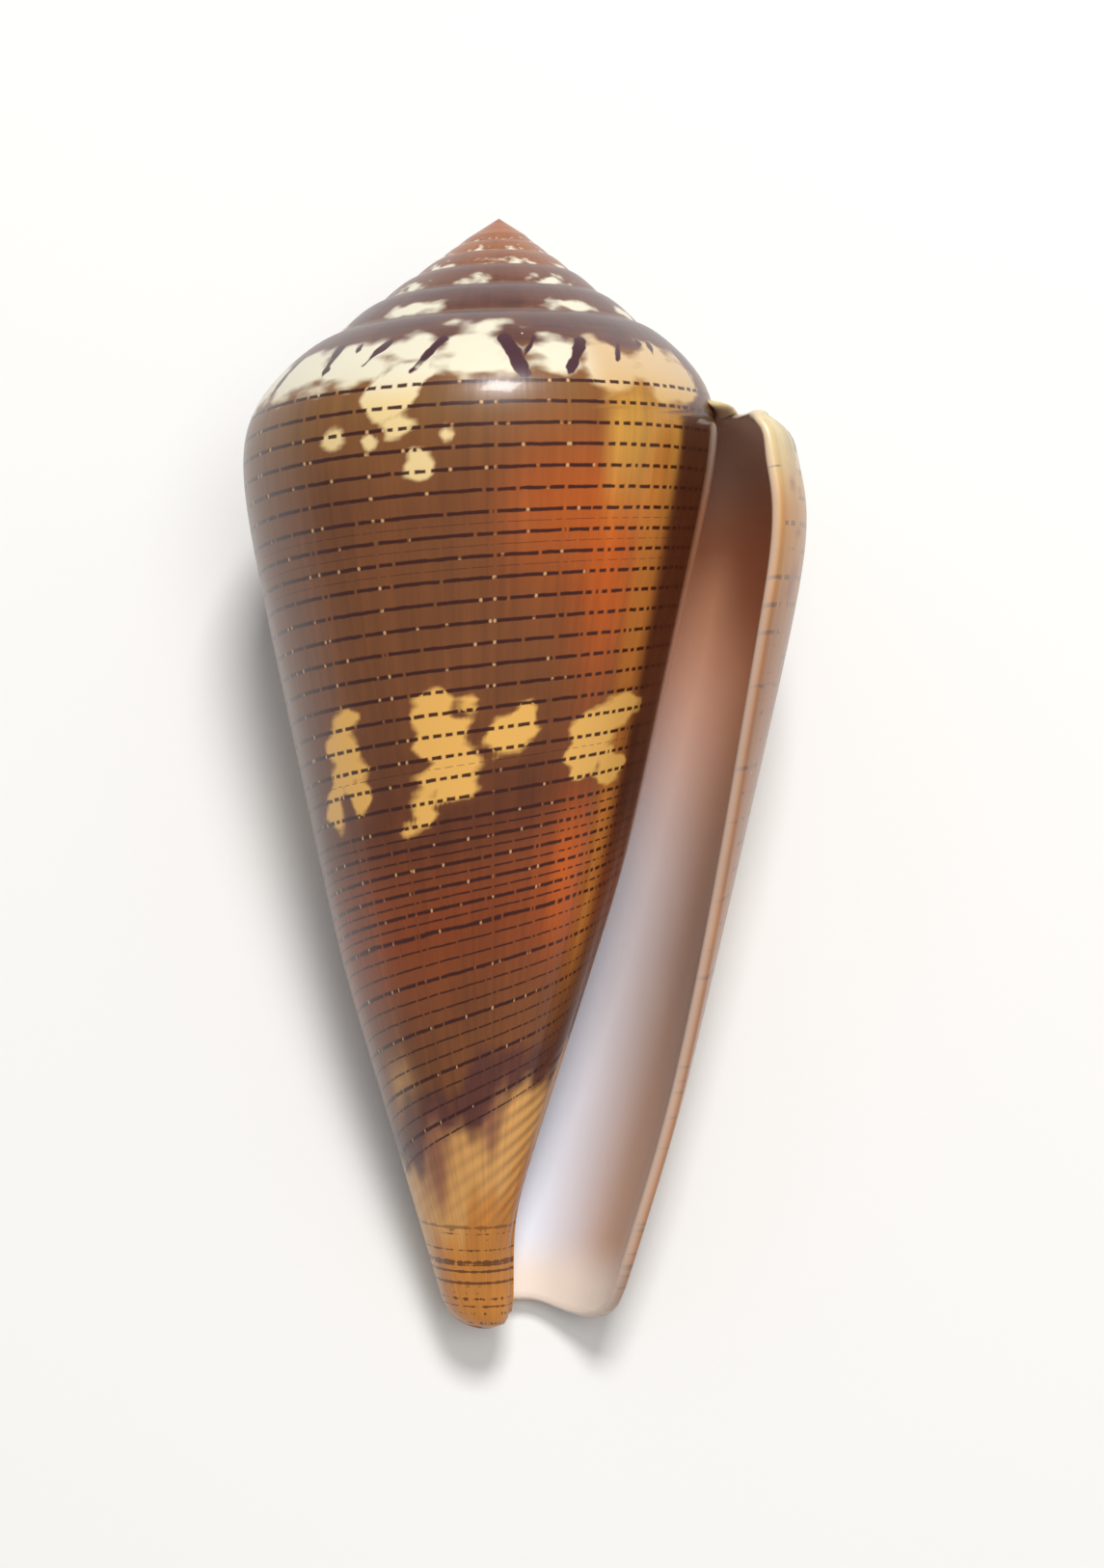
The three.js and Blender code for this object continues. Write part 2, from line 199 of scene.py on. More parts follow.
# the room's brown, lightened as painted light where shade falls at the top of the room
INSIDE_BROWN_AND_PAINTED_LIGHT = "f0b48c"
INSIDE_TAN = "b88a68"
INSIDE_PEARL = "d4d4dc"
# cream: the lining's own colour at the lip and the front edge, painted light through the wall at the top of
# the room
INSIDE_CREAM_AND_PAINTED_GLOW = "dccabb"
LINE_BROWN = "340c06"
LINE_DOT = "c9a070"
STAIN_PURPLE = "43222b"
HALO_BROWN = "7c4520"
SPECK_GREEN = "24301f"
SPECK_PALE = "e6d9c2"
SPECK_DARK = "2a0f0a"

# ---- where the markings are ----
SHELL_RADIUS = 12.5
DEGREES_TO_MM = math.radians(1) * SHELL_RADIUS
# Patches on the side of the last whorl: growth angle and height of the middle, half length in degrees and
# half height in mm.
SIDE_PATCHES = (
    (-254, 33.8, 5, 0.8),
    (-250, 35.5, 7, 1.1),
    (-251, 37.0, 8, 1.0),
    (-255, 38.8, 4.5, 1.2),
    (-240, 38.9, 5, 1.0),
    (-242, 40.2, 3.5, 0.6),
    (-283, 33.9, 7, 1.2),
    (-292.5, 34.0, 4, 0.5),
    (-285, 35.9, 8.5, 1.5),
    (-289, 37.5, 9.5, 1.0),
    (-285.5, 38.8, 9.5, 0.8),
    (-288, 39.7, 6, 0.5),
    (-278, 40.3, 5, 0.9),
    (-272, 41.2, 3, 0.45),
    (-306, 36.3, 8, 1.3),
    (-310, 35.1, 4, 0.8),
    (-335, 36.9, 10, 1.5),
    (-332, 38.5, 7, 1.5),
    (-344, 39.7, 9, 1.1),
    (-346, 35.6, 10, 1.1),
    (-276, 14.3, 6.5, 1.5),
    (-280, 13.0, 5, 1.2),
    (-278.5, 16.1, 3.8, 0.75),
    (-282.7, 18.7, 4, 1.05),
    (-262, 16.6, 3.5, 0.85),
    (-271.5, 16.9, 1.6, 0.5),
    (-290.2, 17.0, 1.4, 0.45),
)
# White patches on the shoulder, the same four numbers.
SHOULDER_PATCHES = (
    (-262.5, 11.8, 10.5, 1.5),
    (-279, 11.3, 7.5, 1.2),
    (-295, 11.7, 11, 1.4),
    (-315.5, 11.8, 6.9, 1.3),
    (-329.5, 12.3, 7.5, 1.8),
    (-352, 12.7, 13, 2.1),
    (-245, 11.8, 10.5, 1.6),
    (-226, 11.6, 9.2, 1.6),
    (-297, 9.7, 5.75, 0.4),
)
# Dark strokes between the white patches: growth angle and height at the top and at the foot, half width.
SHOULDER_STROKES = (
    (-254.5, 10.3, -255.5, 12.3, 0.28),
    (-271.5, 10.4, -266.5, 11.9, 0.2),
    (-286.5, 10.5, -280.5, 12.7, 0.28),
    (-303, 10.6, -308, 13.2, 0.42),
    (-324, 10.8, -318.5, 13.0, 0.33),
    (-336, 10.8, -333, 12.0, 0.22),
    (-345, 10.5, -342, 11.2, 0.15),
    (-350, 10.4, -348, 11.3, 0.13),
    (-363, 10.8, -364.5, 16.5, 0.13),
    (-367, 10.6, -368.5, 15.0, 0.16),
    (-262, 10.3, -263.5, 11.2, 0.14),
    (-311, 10.5, -306, 12.4, 0.16),
    (-236, 10.4, -234, 12.6, 0.3),
)
STROKE_TOP = 1.15
STROKE_TAPER = 0.5
FAR_OUTSIDE = -9.0
# Spots of colour: share, growth angle of the middle and half length, height of the middle and half height.
ORANGE_GLOWS = (
    (0.95, -334, 11, 26, 8),
    (0.6, -316, 14, 22, 5),
    (0.95, -332, 10, 46.5, 5),
)
RIDGE_STAINS = (
    (0.85, -256, 17, 62.6, 2.2),
    (0.8, -300, 9, 62.2, 1.2),
)
LIP_BLOTCHES = (
    (0.8, -6, 1.7, 14.3, 0.35),
    (0.8, -11, 1.2, 14.6, 0.3),
    (0.8, -8, 2.6, 19.7, 0.8),
    (0.8, -10, 1.6, 18.8, 0.4),
    (0.8, -9, 1.8, 16.8, 0.22),
)
# Waves in the edges of the bands low down: size in mm, degrees per radian and radians per mm of height.
EDGE_WAVES = ((0.9, 9.0, 0.5), (0.5, 3.7, -1.0))
# Height in mm where the waves begin, and mm until they are full.
EDGE_WAVES_FROM = (55, 3)
# Patches on the side that the shell rests on.
BACK_PATCH_CLUSTERS = 4
BACK_CLUSTER_FROM = -190.0
BACK_CLUSTER_STEP = 42.0
PATCHES_IN_CLUSTER = 6
BACK_SHOULDER_ANGLES = np.arange(-210, -20, 17.0)
# ranges of random values on the side that the shell rests on: shifts and lengths in degrees, the rest in mm
BACK_CLUSTER_SHIFT = (-6, 6)
BACK_PATCH_SHIFT = (-11, 11)
BACK_PATCH_LEVEL = (34, 40.5)
BACK_PATCH_LENGTH = (4, 9)
BACK_PATCH_HALF = (0.7, 1.4)
BACK_SPOT_SHIFT = (-15, 15)
BACK_SPOT_LEVEL = (14, 19)
BACK_SHOULDER_SHIFT = (-5, 5)
BACK_SHOULDER_LIFT = (-0.3, 0.7)
BACK_SHOULDER_LENGTH = (6, 11)
BACK_SHOULDER_HALF = (1.0, 1.7)
BACK_STROKE_SHIFT = (-6, 6)
BACK_STROKE_HALF = (0.15, 0.4)
# and what is fixed there: a spot's half length and half height, levels in mm, and the degrees from the
# middle of a white patch to the top and the foot of its stroke
BACK_SPOT_SIZE = (4, 1.0)
BACK_SHOULDER_LEVEL = 11.6
BACK_STROKE_TOP = 10.4
BACK_STROKE_FOOT = 12.4
BACK_TOP_PAST_PATCH = 9
BACK_FOOT_PAST_PATCH = 7
FINISH_SEED = 41
SHOULDER_SOFTNESS = 0.5
SPIRE_FROM = -TURN - 12
SPIRE_SPOT_STEP = 47.0
SPIRE_SPOT_HEIGHT = 10.5
SPIRE_SPOT_LENGTH = 8.0
SPIRE_SPOT_HALF = 0.6
SPIRE_SWAY = 8.0
SPIRE_SWAY_LENGTH = 23.0

# ---- polished shell lime: its patterns, sizes in mm ----
MATHS = "ShaderNodeMath"
VECTOR_MATHS = "ShaderNodeVectorMath"
NOISE = "ShaderNodeTexNoise"
VORONOI = "ShaderNodeTexVoronoi"
MIX = "ShaderNodeMix"
RANGE = "ShaderNodeMapRange"
ATTRIBUTE = "ShaderNodeAttribute"
STREAKS_PER_MM = (1.6, 0.06, 0)
CLOUDS_PER_MM = (0.12, 0.1, 0)
STREAK_DEPTH = 0.75
GRAIN_PER_MM = (0.2, 4.5, 0)
GRAIN_DEPTH = 0.9
GRAIN_END = (10.4, 11.4)
RAGS_PER_MM = (0.55, 0.9, 0)
RAG_DEPTH = 1.3
PATCH_BLUR = 0.2
HALO_WIDTH = 0.9
HALO_END = 0.1
HALO_SHARE = 0.35
STROKE_RAG = 0.7
STROKE_BLUR = 0.06
# colour, size of a cell, reach of the speck, and how few cells have one
SPECKS = ((SPECK_PALE, 1.7, 0.05, 0.93), (SPECK_DARK, 2.4, 0.045, 0.965), (SPECK_GREEN, 5.0, 0.22, 0.95))
# the spiral lines: height and number where each spacing begins, then spacing, half widths and dashes
LINE_HEIGHTS = (12.2, 48.2)
LINE_NUMBERS = (0, 52)
THIN_LINES_FROM = 42.5
FEW_LINES_FROM = 52.5
LINE_STEP = 0.6925
FEW_LINE_STEP = 1.02
THIN_LINES_BETWEEN = 3.0
FIRST_LINE = 0.5
LAST_LINE = 65.5
LINE_HALF = 0.125
THIN_LINE_HALF = 0.065
LINE_BLUR = 0.05
WOBBLE_PER_MM = (1, 0.7, 0)
LINE_WOBBLE = 0.1
UNEVEN_PER_MM = (1.6, 3, 0)
UNEVEN_LEAST = 0.5
UNEVEN_SPREAD = 0.9
FAINT_CHANCE = 0.8
FAINT_SHARE = 0.55
DASH = 2.5
DOT = 0.78
SHARED_GAP = 4.6
DASH_END = (0.05, 0.13)
DOT_END = (0.09, 0.18)
LINE_OFFSET = 17.3
SHORT_DASHES_BEYOND = -325.0 * DEGREES_TO_MM
LIP_STRIP_FROM = -75.0 * DEGREES_TO_MM
FADING_PER_MM = (0.7, 1.3, 0)
LINE_FADING = (0.5, 0.54)
DOT_FADING = (0.5, 0.56)
# in square mm
PALE_DOT_REACH = (0.006, 0.022)
LIP_LINE_SHARE = 0.65
LINE_SHARE = 0.97
DOT_SHARE = 0.8
# the rings of broken brown lines round the front tip
TIP_LINES_FROM = 52.6
TIP_LINES_EASE = 1.5
TIP_LINES_PER_MM = 2.6
TIP_LINE_BREAKS = 0.45
TIP_LINE_LEVEL = 0.8
TIP_LINE_BLUR = 0.05
TIP_LINE_SHARE = 0.75
# gloss, the room's soft shading, and relief
SHELL_IOR = 1.53
ROUGHNESS = 0.34
ROUGHNESS_SPREAD = 0.16
GLOSS = 0.18
GLOSS_ROUGHNESS = 0.08
ROOM_CLOUDS = 0.16
ROOM_SHADE = 0.92
RIDGE_STEP = 1.13
RIDGES_FROM = 59.0
RIDGES_EASE = 3.0
RIDGE_HEIGHT = 0.03
GROWTH_LINE_HEIGHT = 0.012

# ---- camera, floor and light ----
# in mm and degrees; the view's height is measured at the coiling axis
VIEW_DISTANCE = 150.0
VIEW_HEIGHT = 83.851
VIEW_TILT = 0.0766
VIEW_ROLL = 0.4457
SENSOR = 36.0
AXIS_MIDDLE = 30.0
APEX_RIGHT = -3.0755
APEX_UP = 30.2482
# in metres
NEAREST_SEEN = 0.01
FLOOR_HALF = 1.2
LIGHT_TARGET = (0, 0, 0.012)
FLOOR_COLOUR = (0.75, 0.74, 0.72, 1)
FLOOR_ROUGHNESS = 0.8
SKY_STRENGTH = 0.3


def ease(way):
    """Smooth step from 0 to 1: three times the way squared, less twice the way cubed."""
    way = np.clip(way, 0.0, 1.0)
    return way * way * (3 - 2 * way)


def bump(value, middle, half):
    """A bell, 1 at the middle and about a third one half width away: e to minus the distance in half
    widths squared."""
    return np.exp(-(((value - middle) / half) ** 2))


def rise(value, start, span):
    """Smooth step from 0 at the start to 1 one span further on."""
    return ease((value - start) / span)


def fall(value, start, span):
    """Smooth step from 1 at the start to 0 one span further on."""
    return 1 - rise(value, start, span)


def mix(start, end, share):
    """Straight blend from start to end."""
    return start + (end - start) * share


def soft_max(one, other, blend):
    """The larger of two values with a rounded corner: their mean plus the length of half their gap and
    the blend."""
    return (one + other) / 2 + np.hypot((one - other) / 2, blend)


def growth(angle):
    """Size of the shell at a growth angle: the growth per turn to the power of the turns."""
    return GROWTH_PER_TURN ** (angle / TURN)


def sag(angle):
    """Extra drop of the last whorl as it nears the lip."""
    return LIP_SAG * rise(angle, -LIP_SAG_SPAN, LIP_SAG_SPAN)


def height_of(angle, drop):
    """Drop at full size, the same all along one spiral line: the drop less the sag, over the growth."""
    return (drop - sag(angle)) / growth(angle)


def lip_swell(angle, drop):
    """Extra radius near the lip: the shoulder stands up at the lip, with a dip in the ramp just behind
    it."""
    shoulder = LIP_SHOULDER * rise(angle, LIP_SHOULDER_START, LIP_SHOULDER_SPAN)
    dip = LIP_DIP * rise(angle, LIP_DIP_START, LIP_DIP_SPAN) * fall(angle, LIP_DIP_END, LIP_DIP_FADE)
    shoulder = shoulder * bump(drop, LIP_SHOULDER_DROP, LIP_SHOULDER_WIDTH)
    return shoulder - dip * bump(drop, LIP_DIP_DROP, LIP_DIP_WIDTH)


def whorl_radius(angle, drop):
    """The smooth lesser of a flat cone (the ramp) and a steep cone (the side), scaled by the growth, with
    the flare and swell near the lip added, and never less than the pillar's radius."""
    height = np.maximum(height_of(angle, drop), LEAST_HEIGHT)
    ramp = RAMP_SLOPE * height + RAMP_OFFSET
    hollow = HOLLOW_SLOPE * soft_max(height - HOLLOW_START, 0.0, HOLLOW_BLEND)
    side = np.maximum(SIDE_START - SIDE_SLOPE * height - hollow, LEAST_SIDE)
    both = (ramp**-SHOULDER_SHARPNESS + side**-SHOULDER_SHARPNESS) ** (-1 / SHOULDER_SHARPNESS)
    flare = LIP_FLARE * rise(angle, -LIP_FLARE_SPAN, LIP_FLARE_SPAN)
    return soft_max(growth(angle) * both + flare + lip_swell(angle, drop), COLUMN_RADIUS, COLUMN_BLEND)


def seam_drop(angle):
    """Drop of the seam where the whorl at this angle begins; it falls over the last quarter turn."""
    lowered = SEAM_FALL * rise(angle, SEAM_FALL_START, SEAM_FALL_SPAN)
    return SEAM_DROP * growth(angle) - SEAM_BASE + lowered


def shown_radius(angle, drop):
    """Radius of the outside: level with the whorl before at the seam, then swelling out of a small
    gutter."""
    seam = seam_drop(angle)
    step = whorl_radius(angle, seam) - whorl_radius(angle - TURN, seam)
    below = np.maximum(drop - seam, 0.0) / (SEAM_CHANNEL * growth(angle))
    return whorl_radius(angle, drop) - step * np.exp(-below)


def tip_factor(angle, drop):
    """1 down to where the pillar's end begins to round, then the cube root of one less the cube of the
    way along. Towards the lip it stays 1."""
    way = np.clip((drop - TIP_ROUND_START) / (SHELL_LENGTH - TIP_ROUND_START), 0.0, 1.0)
    return mix(np.cbrt(1 - way**3), 1.0, rise(angle, NOTCH_ANGLE, TIP_SPAN))


def wall_thickness(angle, drop):
    """Thin at the lip, thinner still at its top, thicker inside."""
    top = rise(angle, -THIN_TOP_SPAN, THIN_TOP_SPAN) * fall(drop, seam_drop(angle), THIN_TOP_DROP)
    return mix(WALL_AT_LIP, WALL_INSIDE, ease(-angle / WALL_SPAN)) * (1 - THIN_TOP * top)


def lip_angle(drop):
    """Growth angle of the edge of the lip: a bay below the seam, forward at the shoulder, leaning back
    below."""
    below = np.maximum(drop - seam_drop(LIP_ROOT), 0.0)
    root = LIP_ROOT * fall(below, 0.0, LIP_ROOT_RISE)
    bay = bump(below, BAY_CENTRE, BAY_WIDTH) * (1 - bump(below, 0.0, BAY_EASE))
    lean = LIP_LEAN * rise(drop, LIP_LEAN_START, LIP_LEAN_SPAN)
    way = np.clip((drop - LOBE_ROUND_START) / (LOBE_END - LOBE_ROUND_START), 0.0, 1.0)
    return root - BAY_DEPTH * bay - lean - LOBE_TURN * (1 - np.cbrt(1 - way**3))


def front_end(angle):
    """Drop of the front edge: the tip, or the edge of the notch near the lip."""
    notch = NOTCH_EDGE + LOBE_EXTRA * rise(angle, LOBE_START, LOBE_SPAN)
    return mix(SHELL_LENGTH, notch, rise(angle, NOTCH_ANGLE, NOTCH_SPAN))


def room_end(angle):
    """Drop of the front end of the room: the tip where it is open, then shorter and shorter with the
    growth."""
    closed = CLOSED_FRONT * growth(angle)
    return mix(closed, SHELL_LENGTH, rise(angle, NOTCH_ANGLE - CANAL_SPAN, CANAL_SPAN))


def near_opening(angle):
    """0 inside the shell, 1 at the lip."""
    return rise(angle, -OPENING_SPAN, OPENING_SPAN + LIP_ROOT - BAY_DEPTH)


def roof_drop(angle):
    """Drop of the roof of the room: just below the seam at the lip, further below it inside."""
    return seam_drop(angle) + mix(ROOF_FALL, ROOF_FALL_AT_LIP, near_opening(angle))


def sheet_drop(angle, row):
    """Drop of a row of the outside sheet: seam to next seam, on to the roof line, then to the front end.
    One turn back from the lip the same rows carry on inside as the floor of the room."""
    seam = seam_drop(angle)
    next_seam = seam_drop(angle + TURN)
    roof = roof_drop(angle + TURN)
    end = np.where(angle + TURN < LIP_ROOT, room_end(angle + TURN), front_end(angle))
    on_ramp = mix(seam, next_seam, RAMP_SHARES[np.clip(row, 0, RAMP_ROWS)])
    to_roof = mix(next_seam, roof, np.clip((row - RAMP_ROWS) / ROOF_ROWS, 0, 1))
    on_side = mix(roof, end, SIDE_SHARES[np.clip(row - ROOF_LINE, 0, SIDE_ROWS)])
    return np.where(row <= RAMP_ROWS, on_ramp, np.where(row <= ROOF_LINE, to_roof, on_side))


def settle_on_lip(drop_of, turns_back, count):
    """Growth angle of the lip's edge on each row, by repeating, as drop and angle depend on each other."""
    row = np.arange(count)
    edge = np.full(count, LIP_ROOT)
    for _ in range(SETTLING_PASSES):
        edge = mix(edge, lip_angle(drop_of(edge - TURN * turns_back, row)), SETTLING_STEP)
    return edge


def place(angle, radius, drop):
    """Shell frame to the row frame: round the axis, lay the shell back by the resting tilt, move the apex
    home."""
    bearing = np.radians(LIP_BEARING - angle)
    x = radius * np.cos(bearing)
    y = -drop
    z = -radius * np.sin(bearing)
    tilt = math.radians(RESTING_TILT)
    turned_y = y * math.cos(tilt) - z * math.sin(tilt)
    turned_z = y * math.sin(tilt) + z * math.cos(tilt)
    return np.stack([x + APEX_AT[0], turned_y + APEX_AT[1], np.maximum(turned_z + APEX_AT[2], 0.0)], -1)


def outside_grid():
    """Angles and drops of the outside sheet, columns by rows, swinging round to follow the lip at both
    its ends."""
    edge_now = settle_on_lip(sheet_drop, 0, LAST_ROW + 1)
    edge_before = settle_on_lip(sheet_drop, 1, LAST_ROW + 1)
    column = np.arange(LIP_COLUMN + 1)[:, None]
    near_start = np.clip(1 - np.abs(column - FIRST_BODY) / LIP_COLUMNS, 0, 1)
    near_lip = np.clip(1 - (LIP_COLUMN - column) / LIP_COLUMNS, 0, 1)
    angle = (column - LIP_COLUMN) * STEP + LIP_ROOT
    angle = angle + (edge_before - LIP_ROOT) * near_start + (edge_now - LIP_ROOT) * near_lip
    drop = sheet_drop(angle, np.arange(LAST_ROW + 1)[None, :])
    return angle, drop


def wall_grid(outer_drop):
    """Angles and drops of the inner face of the wall, from the roof to the front edge, in step with the
    outer rows."""
    rows = LAST_ROW - ROOF_ROWS
    share = (outer_drop[ROOF_ROWS:] - outer_drop[ROOF_ROWS]) / (outer_drop[-1] - outer_drop[ROOF_ROWS])

    def wall_drop(angle, row):
        """Drop of a row of the wall: as far from the roof to the front end as the outer row is."""
        end = np.where(angle < NOTCH_ANGLE, room_end(angle), front_end(angle))
        return mix(roof_drop(angle), end, share[row])

    edge = settle_on_lip(wall_drop, 0, rows + 1)
    column = np.arange(LIP_COLUMN - ROOM_COLUMNS, LIP_COLUMN + 1)[:, None]
    near_lip = np.clip(1 - (LIP_COLUMN - column) / LIP_COLUMNS, 0, 1)
    angle = (column - LIP_COLUMN) * STEP + LIP_ROOT + (edge - LIP_ROOT) * near_lip
    return angle, wall_drop(angle, np.arange(rows + 1)[None, :])


def wall_radius(angle, drop):
    """Inner face of the wall: the outside moved in by the wall, eased onto the floor at the roof and the
    closed end. The easing lets the gap grow only as the square root of the distance from there."""
    wall = wall_thickness(angle, drop)
    under_roof = shown_radius(angle, drop - wall * math.hypot(1, RAMP_SLOPE) / RAMP_SLOPE)
    behind_side = shown_radius(angle, drop) - wall * math.hypot(1, SIDE_SLOPE)
    inner = -soft_max(-under_roof, -behind_side, WALL_CORNER)
    floor = whorl_radius(angle - TURN, drop)
    rounding = mix(GAP_ROUNDING, GAP_ROUNDING_AT_LIP, near_opening(angle))
    roof_limit = rounding * np.sqrt(np.maximum(drop - roof_drop(angle), 0))
    closed_limit = GAP_ROUNDING * np.sqrt(np.maximum(room_end(angle) - drop, 0))
    end_limit = np.where(angle < NOTCH_ANGLE + NOTCH_MARGIN, closed_limit, np.inf)
    return floor + np.clip(inner - floor, 0.0, np.minimum(roof_limit, end_limit))


def quads(columns, rows, start):
    """Corner numbers of the patches of a columns-by-rows grid whose first point has number start."""
    column = np.arange(columns - 1)[:, None]
    row = np.arange(rows - 1)[None, :]
    first = start + column * rows + row
    return np.stack([first, first + rows, first + rows + 1, first + 1], -1).reshape(-1, 4)


class Surface:
    """Gathers grids of points with their angle, drop and depth inside, for one closed mesh."""

    def __init__(self):
        self.points, self.angle, self.drop, self.inside, self.faces = [], [], [], [], []
        self.count = 0

    def add(self, points, angle, drop, inside, flip=False, keep=None):
        """Adds a columns-by-rows grid; keep picks the patches by column and row."""
        columns, rows = points.shape[:2]
        patches = quads(columns, rows, self.count)
        if keep is not None:
            patches = patches[keep.reshape(-1)]
        self.faces.append(patches[:, ::-1] if flip else patches)
        for store, value in ((self.angle, angle), (self.drop, drop), (self.inside, inside)):
            store.append(np.broadcast_to(value, (columns, rows)).reshape(-1))
        self.points.append(points.reshape(-1, 3))
        self.count += columns * rows


def rim_between(outer, inner, forward, bulge):
    """Rounded edge between two matching paths: half an ellipse from one to the other, swelling forward."""
    along = np.gradient(outer + inner, axis=0)
    across = outer - inner
    width = np.linalg.norm(across, axis=-1, keepdims=True)
    out = np.cross(along, across)
    out /= np.linalg.norm(out, axis=-1, keepdims=True) + 1e-12
    out *= np.sign(np.sum(out * forward, -1, keepdims=True))
    swell = np.minimum(width / 2, bulge)
    turn = np.linspace(0, np.pi, RIM_ROWS + 1)[None, :, None]
    middle = ((outer + inner) / 2)[:, None, :]
    return middle + across[:, None, :] / 2 * np.cos(turn) + (out * swell)[:, None, :] * np.sin(turn)


def floor_share(column, row, start, fade):
    """0 on the outside, 1 on the floor of the room, rising over a few columns once it has gone under the
    lip."""
    return np.clip((start - column) / fade, 0, 1) * (row >= ROOF_LINE)


def outside_and_floor(surface):
    """The outside sheet with the floor of the room, a thin glaze thicker than the whorl below it."""
    angle, drop = outside_grid()
    column = np.arange(LIP_COLUMN + 1)[:, None]
    row = np.arange(LAST_ROW + 1)[None, :]
    inwards = ease(floor_share(column, row, FIRST_BODY, GLAZE_COLUMNS))
    glaze = GLAZE * inwards * ease((row - ROOF_LINE) / GLAZE_ROWS)
    points = place(angle, (shown_radius(angle, drop) + glaze) * tip_factor(angle, drop), drop)
    # the ramp's last row lies on the next whorl's seam, one turn on
    points[: LIP_COLUMN + 1 - COLUMNS, RAMP_ROWS] = points[COLUMNS:, 0]
    body = column[:-1] >= FIRST_BODY
    spire = row[:, :-1] < RAMP_ROWS
    floor = (column[:-1] >= FIRST_BODY - ROOM_COLUMNS) & (row[:, :-1] >= ROOF_LINE)
    lining = floor_share(column, row, FIRST_BODY - LINING_START, LINING_FADE)
    surface.add(points, angle, drop, lining, keep=body | spire | floor)
    return points, angle, drop


def inner_wall(surface, points, drop):
    """The inner face of the wall, starting on the floor at the roof line."""
    angle, wall_drop = wall_grid(drop[-1])
    wall_points = place(angle, wall_radius(angle, wall_drop) * tip_factor(angle, wall_drop), wall_drop)
    wall_points[:, 0] = points[FIRST_BODY - ROOM_COLUMNS : FIRST_BODY + 1, ROOF_LINE]
    surface.add(wall_points, angle, wall_drop, 1.0, flip=True)
    return wall_points


def edge_path(grid):
    """Down the lip on the last column, then back along the front edge as far as the notch."""
    return np.concatenate([grid[-1], grid[-2 : -2 - NOTCH_COLUMNS : -1, -1]])


def add_rim(surface, points, wall_points, angle, drop):
    """The rounded rim that joins the outside to the inner wall, down the lip and round the notch."""
    root = points[FIRST_BODY, RAMP_ROWS : ROOF_LINE + 1]
    back = slice(-2, -2 - NOTCH_COLUMNS, -1)
    inner_path = np.concatenate([root, wall_points[-1, 1:], wall_points[back, -1]])
    ahead = np.concatenate([points[-1] - points[-2], points[back, -1] - points[back, -2]])
    rim = rim_between(edge_path(points), inner_path, ahead, RIM_BULGE)
    inwards = np.linspace(0, 1, RIM_ROWS + 1)[None, :]
    surface.add(rim, edge_path(angle)[:, None], edge_path(drop)[:, None], inwards)


def add_apex(surface, points):
    """Rounded cap over the first turn: rings drawn in from the seam line to the apex."""
    top = place(np.array(0.0), np.array(0.0), np.array(0.0))
    share = np.linspace(0, 1, APEX_RINGS + 1)[None, :, None]
    angle = np.full((COLUMNS + 1, APEX_RINGS + 1), -TURN * (SPIRE_TURNS + 1))
    drop = np.broadcast_to(share[..., 0], angle.shape) * APEX_CAP_DROP
    ring = mix(top, points[: COLUMNS + 1, 0][:, None, :], share)
    surface.add(ring, angle, drop, 0.0, flip=True)
    seam = mix(top, points[0, : RAMP_ROWS + 1][:, None, :], share)
    surface.add(seam, angle[: RAMP_ROWS + 1], drop[: RAMP_ROWS + 1], 0.0)


def shell_surface():
    """The whole shell: outside sheet, floor and wall of the room, rounded rim, apex cap."""
    surface = Surface()
    points, angle, drop = outside_and_floor(surface)
    wall_points = inner_wall(surface, points, drop)
    add_rim(surface, points, wall_points, angle, drop)
    add_apex(surface, points)
    return surface


def linear(code):
    """sRGB hex to linear red, green and blue."""
    srgb = np.array([int(code[i : i + 2], 16) / 255 for i in (0, 2, 4)])
    return np.where(srgb <= 0.04045, srgb / 12.92, ((srgb + 0.055) / 1.055) ** 2.4)


def back_markings():
    """Patches and strokes on the side that rests on the floor, scattered at random like the ones on the
    front."""
    chance = np.random.default_rng(FINISH_SEED)
    side, shoulder, strokes = [], [], []
    for cluster in range(BACK_PATCH_CLUSTERS):
        shift = chance.uniform(*BACK_CLUSTER_SHIFT)
        middle = BACK_CLUSTER_FROM + cluster * BACK_CLUSTER_STEP + shift
        for _ in range(PATCHES_IN_CLUSTER):
            at = (middle + chance.uniform(*BACK_PATCH_SHIFT), chance.uniform(*BACK_PATCH_LEVEL))
            side.append((*at, chance.uniform(*BACK_PATCH_LENGTH), chance.uniform(*BACK_PATCH_HALF)))
        at = (middle + chance.uniform(*BACK_SPOT_SHIFT), chance.uniform(*BACK_SPOT_LEVEL))
        side.append((*at, *BACK_SPOT_SIZE))
    for angle in BACK_SHOULDER_ANGLES:
        middle = angle + chance.uniform(*BACK_SHOULDER_SHIFT)
        level = BACK_SHOULDER_LEVEL + chance.uniform(*BACK_SHOULDER_LIFT)
        length = chance.uniform(*BACK_SHOULDER_LENGTH)
        shoulder.append((middle, level, length, chance.uniform(*BACK_SHOULDER_HALF)))
        top = middle + BACK_TOP_PAST_PATCH
        foot = middle + BACK_FOOT_PAST_PATCH + chance.uniform(*BACK_STROKE_SHIFT)
        strokes.append((top, BACK_STROKE_TOP, foot, BACK_STROKE_FOOT, chance.uniform(*BACK_STROKE_HALF)))
    return side, shoulder, strokes


def patch_field(angle, height, patches):
    """Millimetres inside the nearest patch, below 0 outside: one less the distance in half widths, times
    the half height."""
    field = np.full(angle.shape, FAR_OUTSIDE)
    for middle, level, half_length, half_height in patches:
        away = np.hypot((angle - middle) / half_length, (height - level) / half_height)
        field = np.maximum(field, (1 - away) * half_height)
    return field


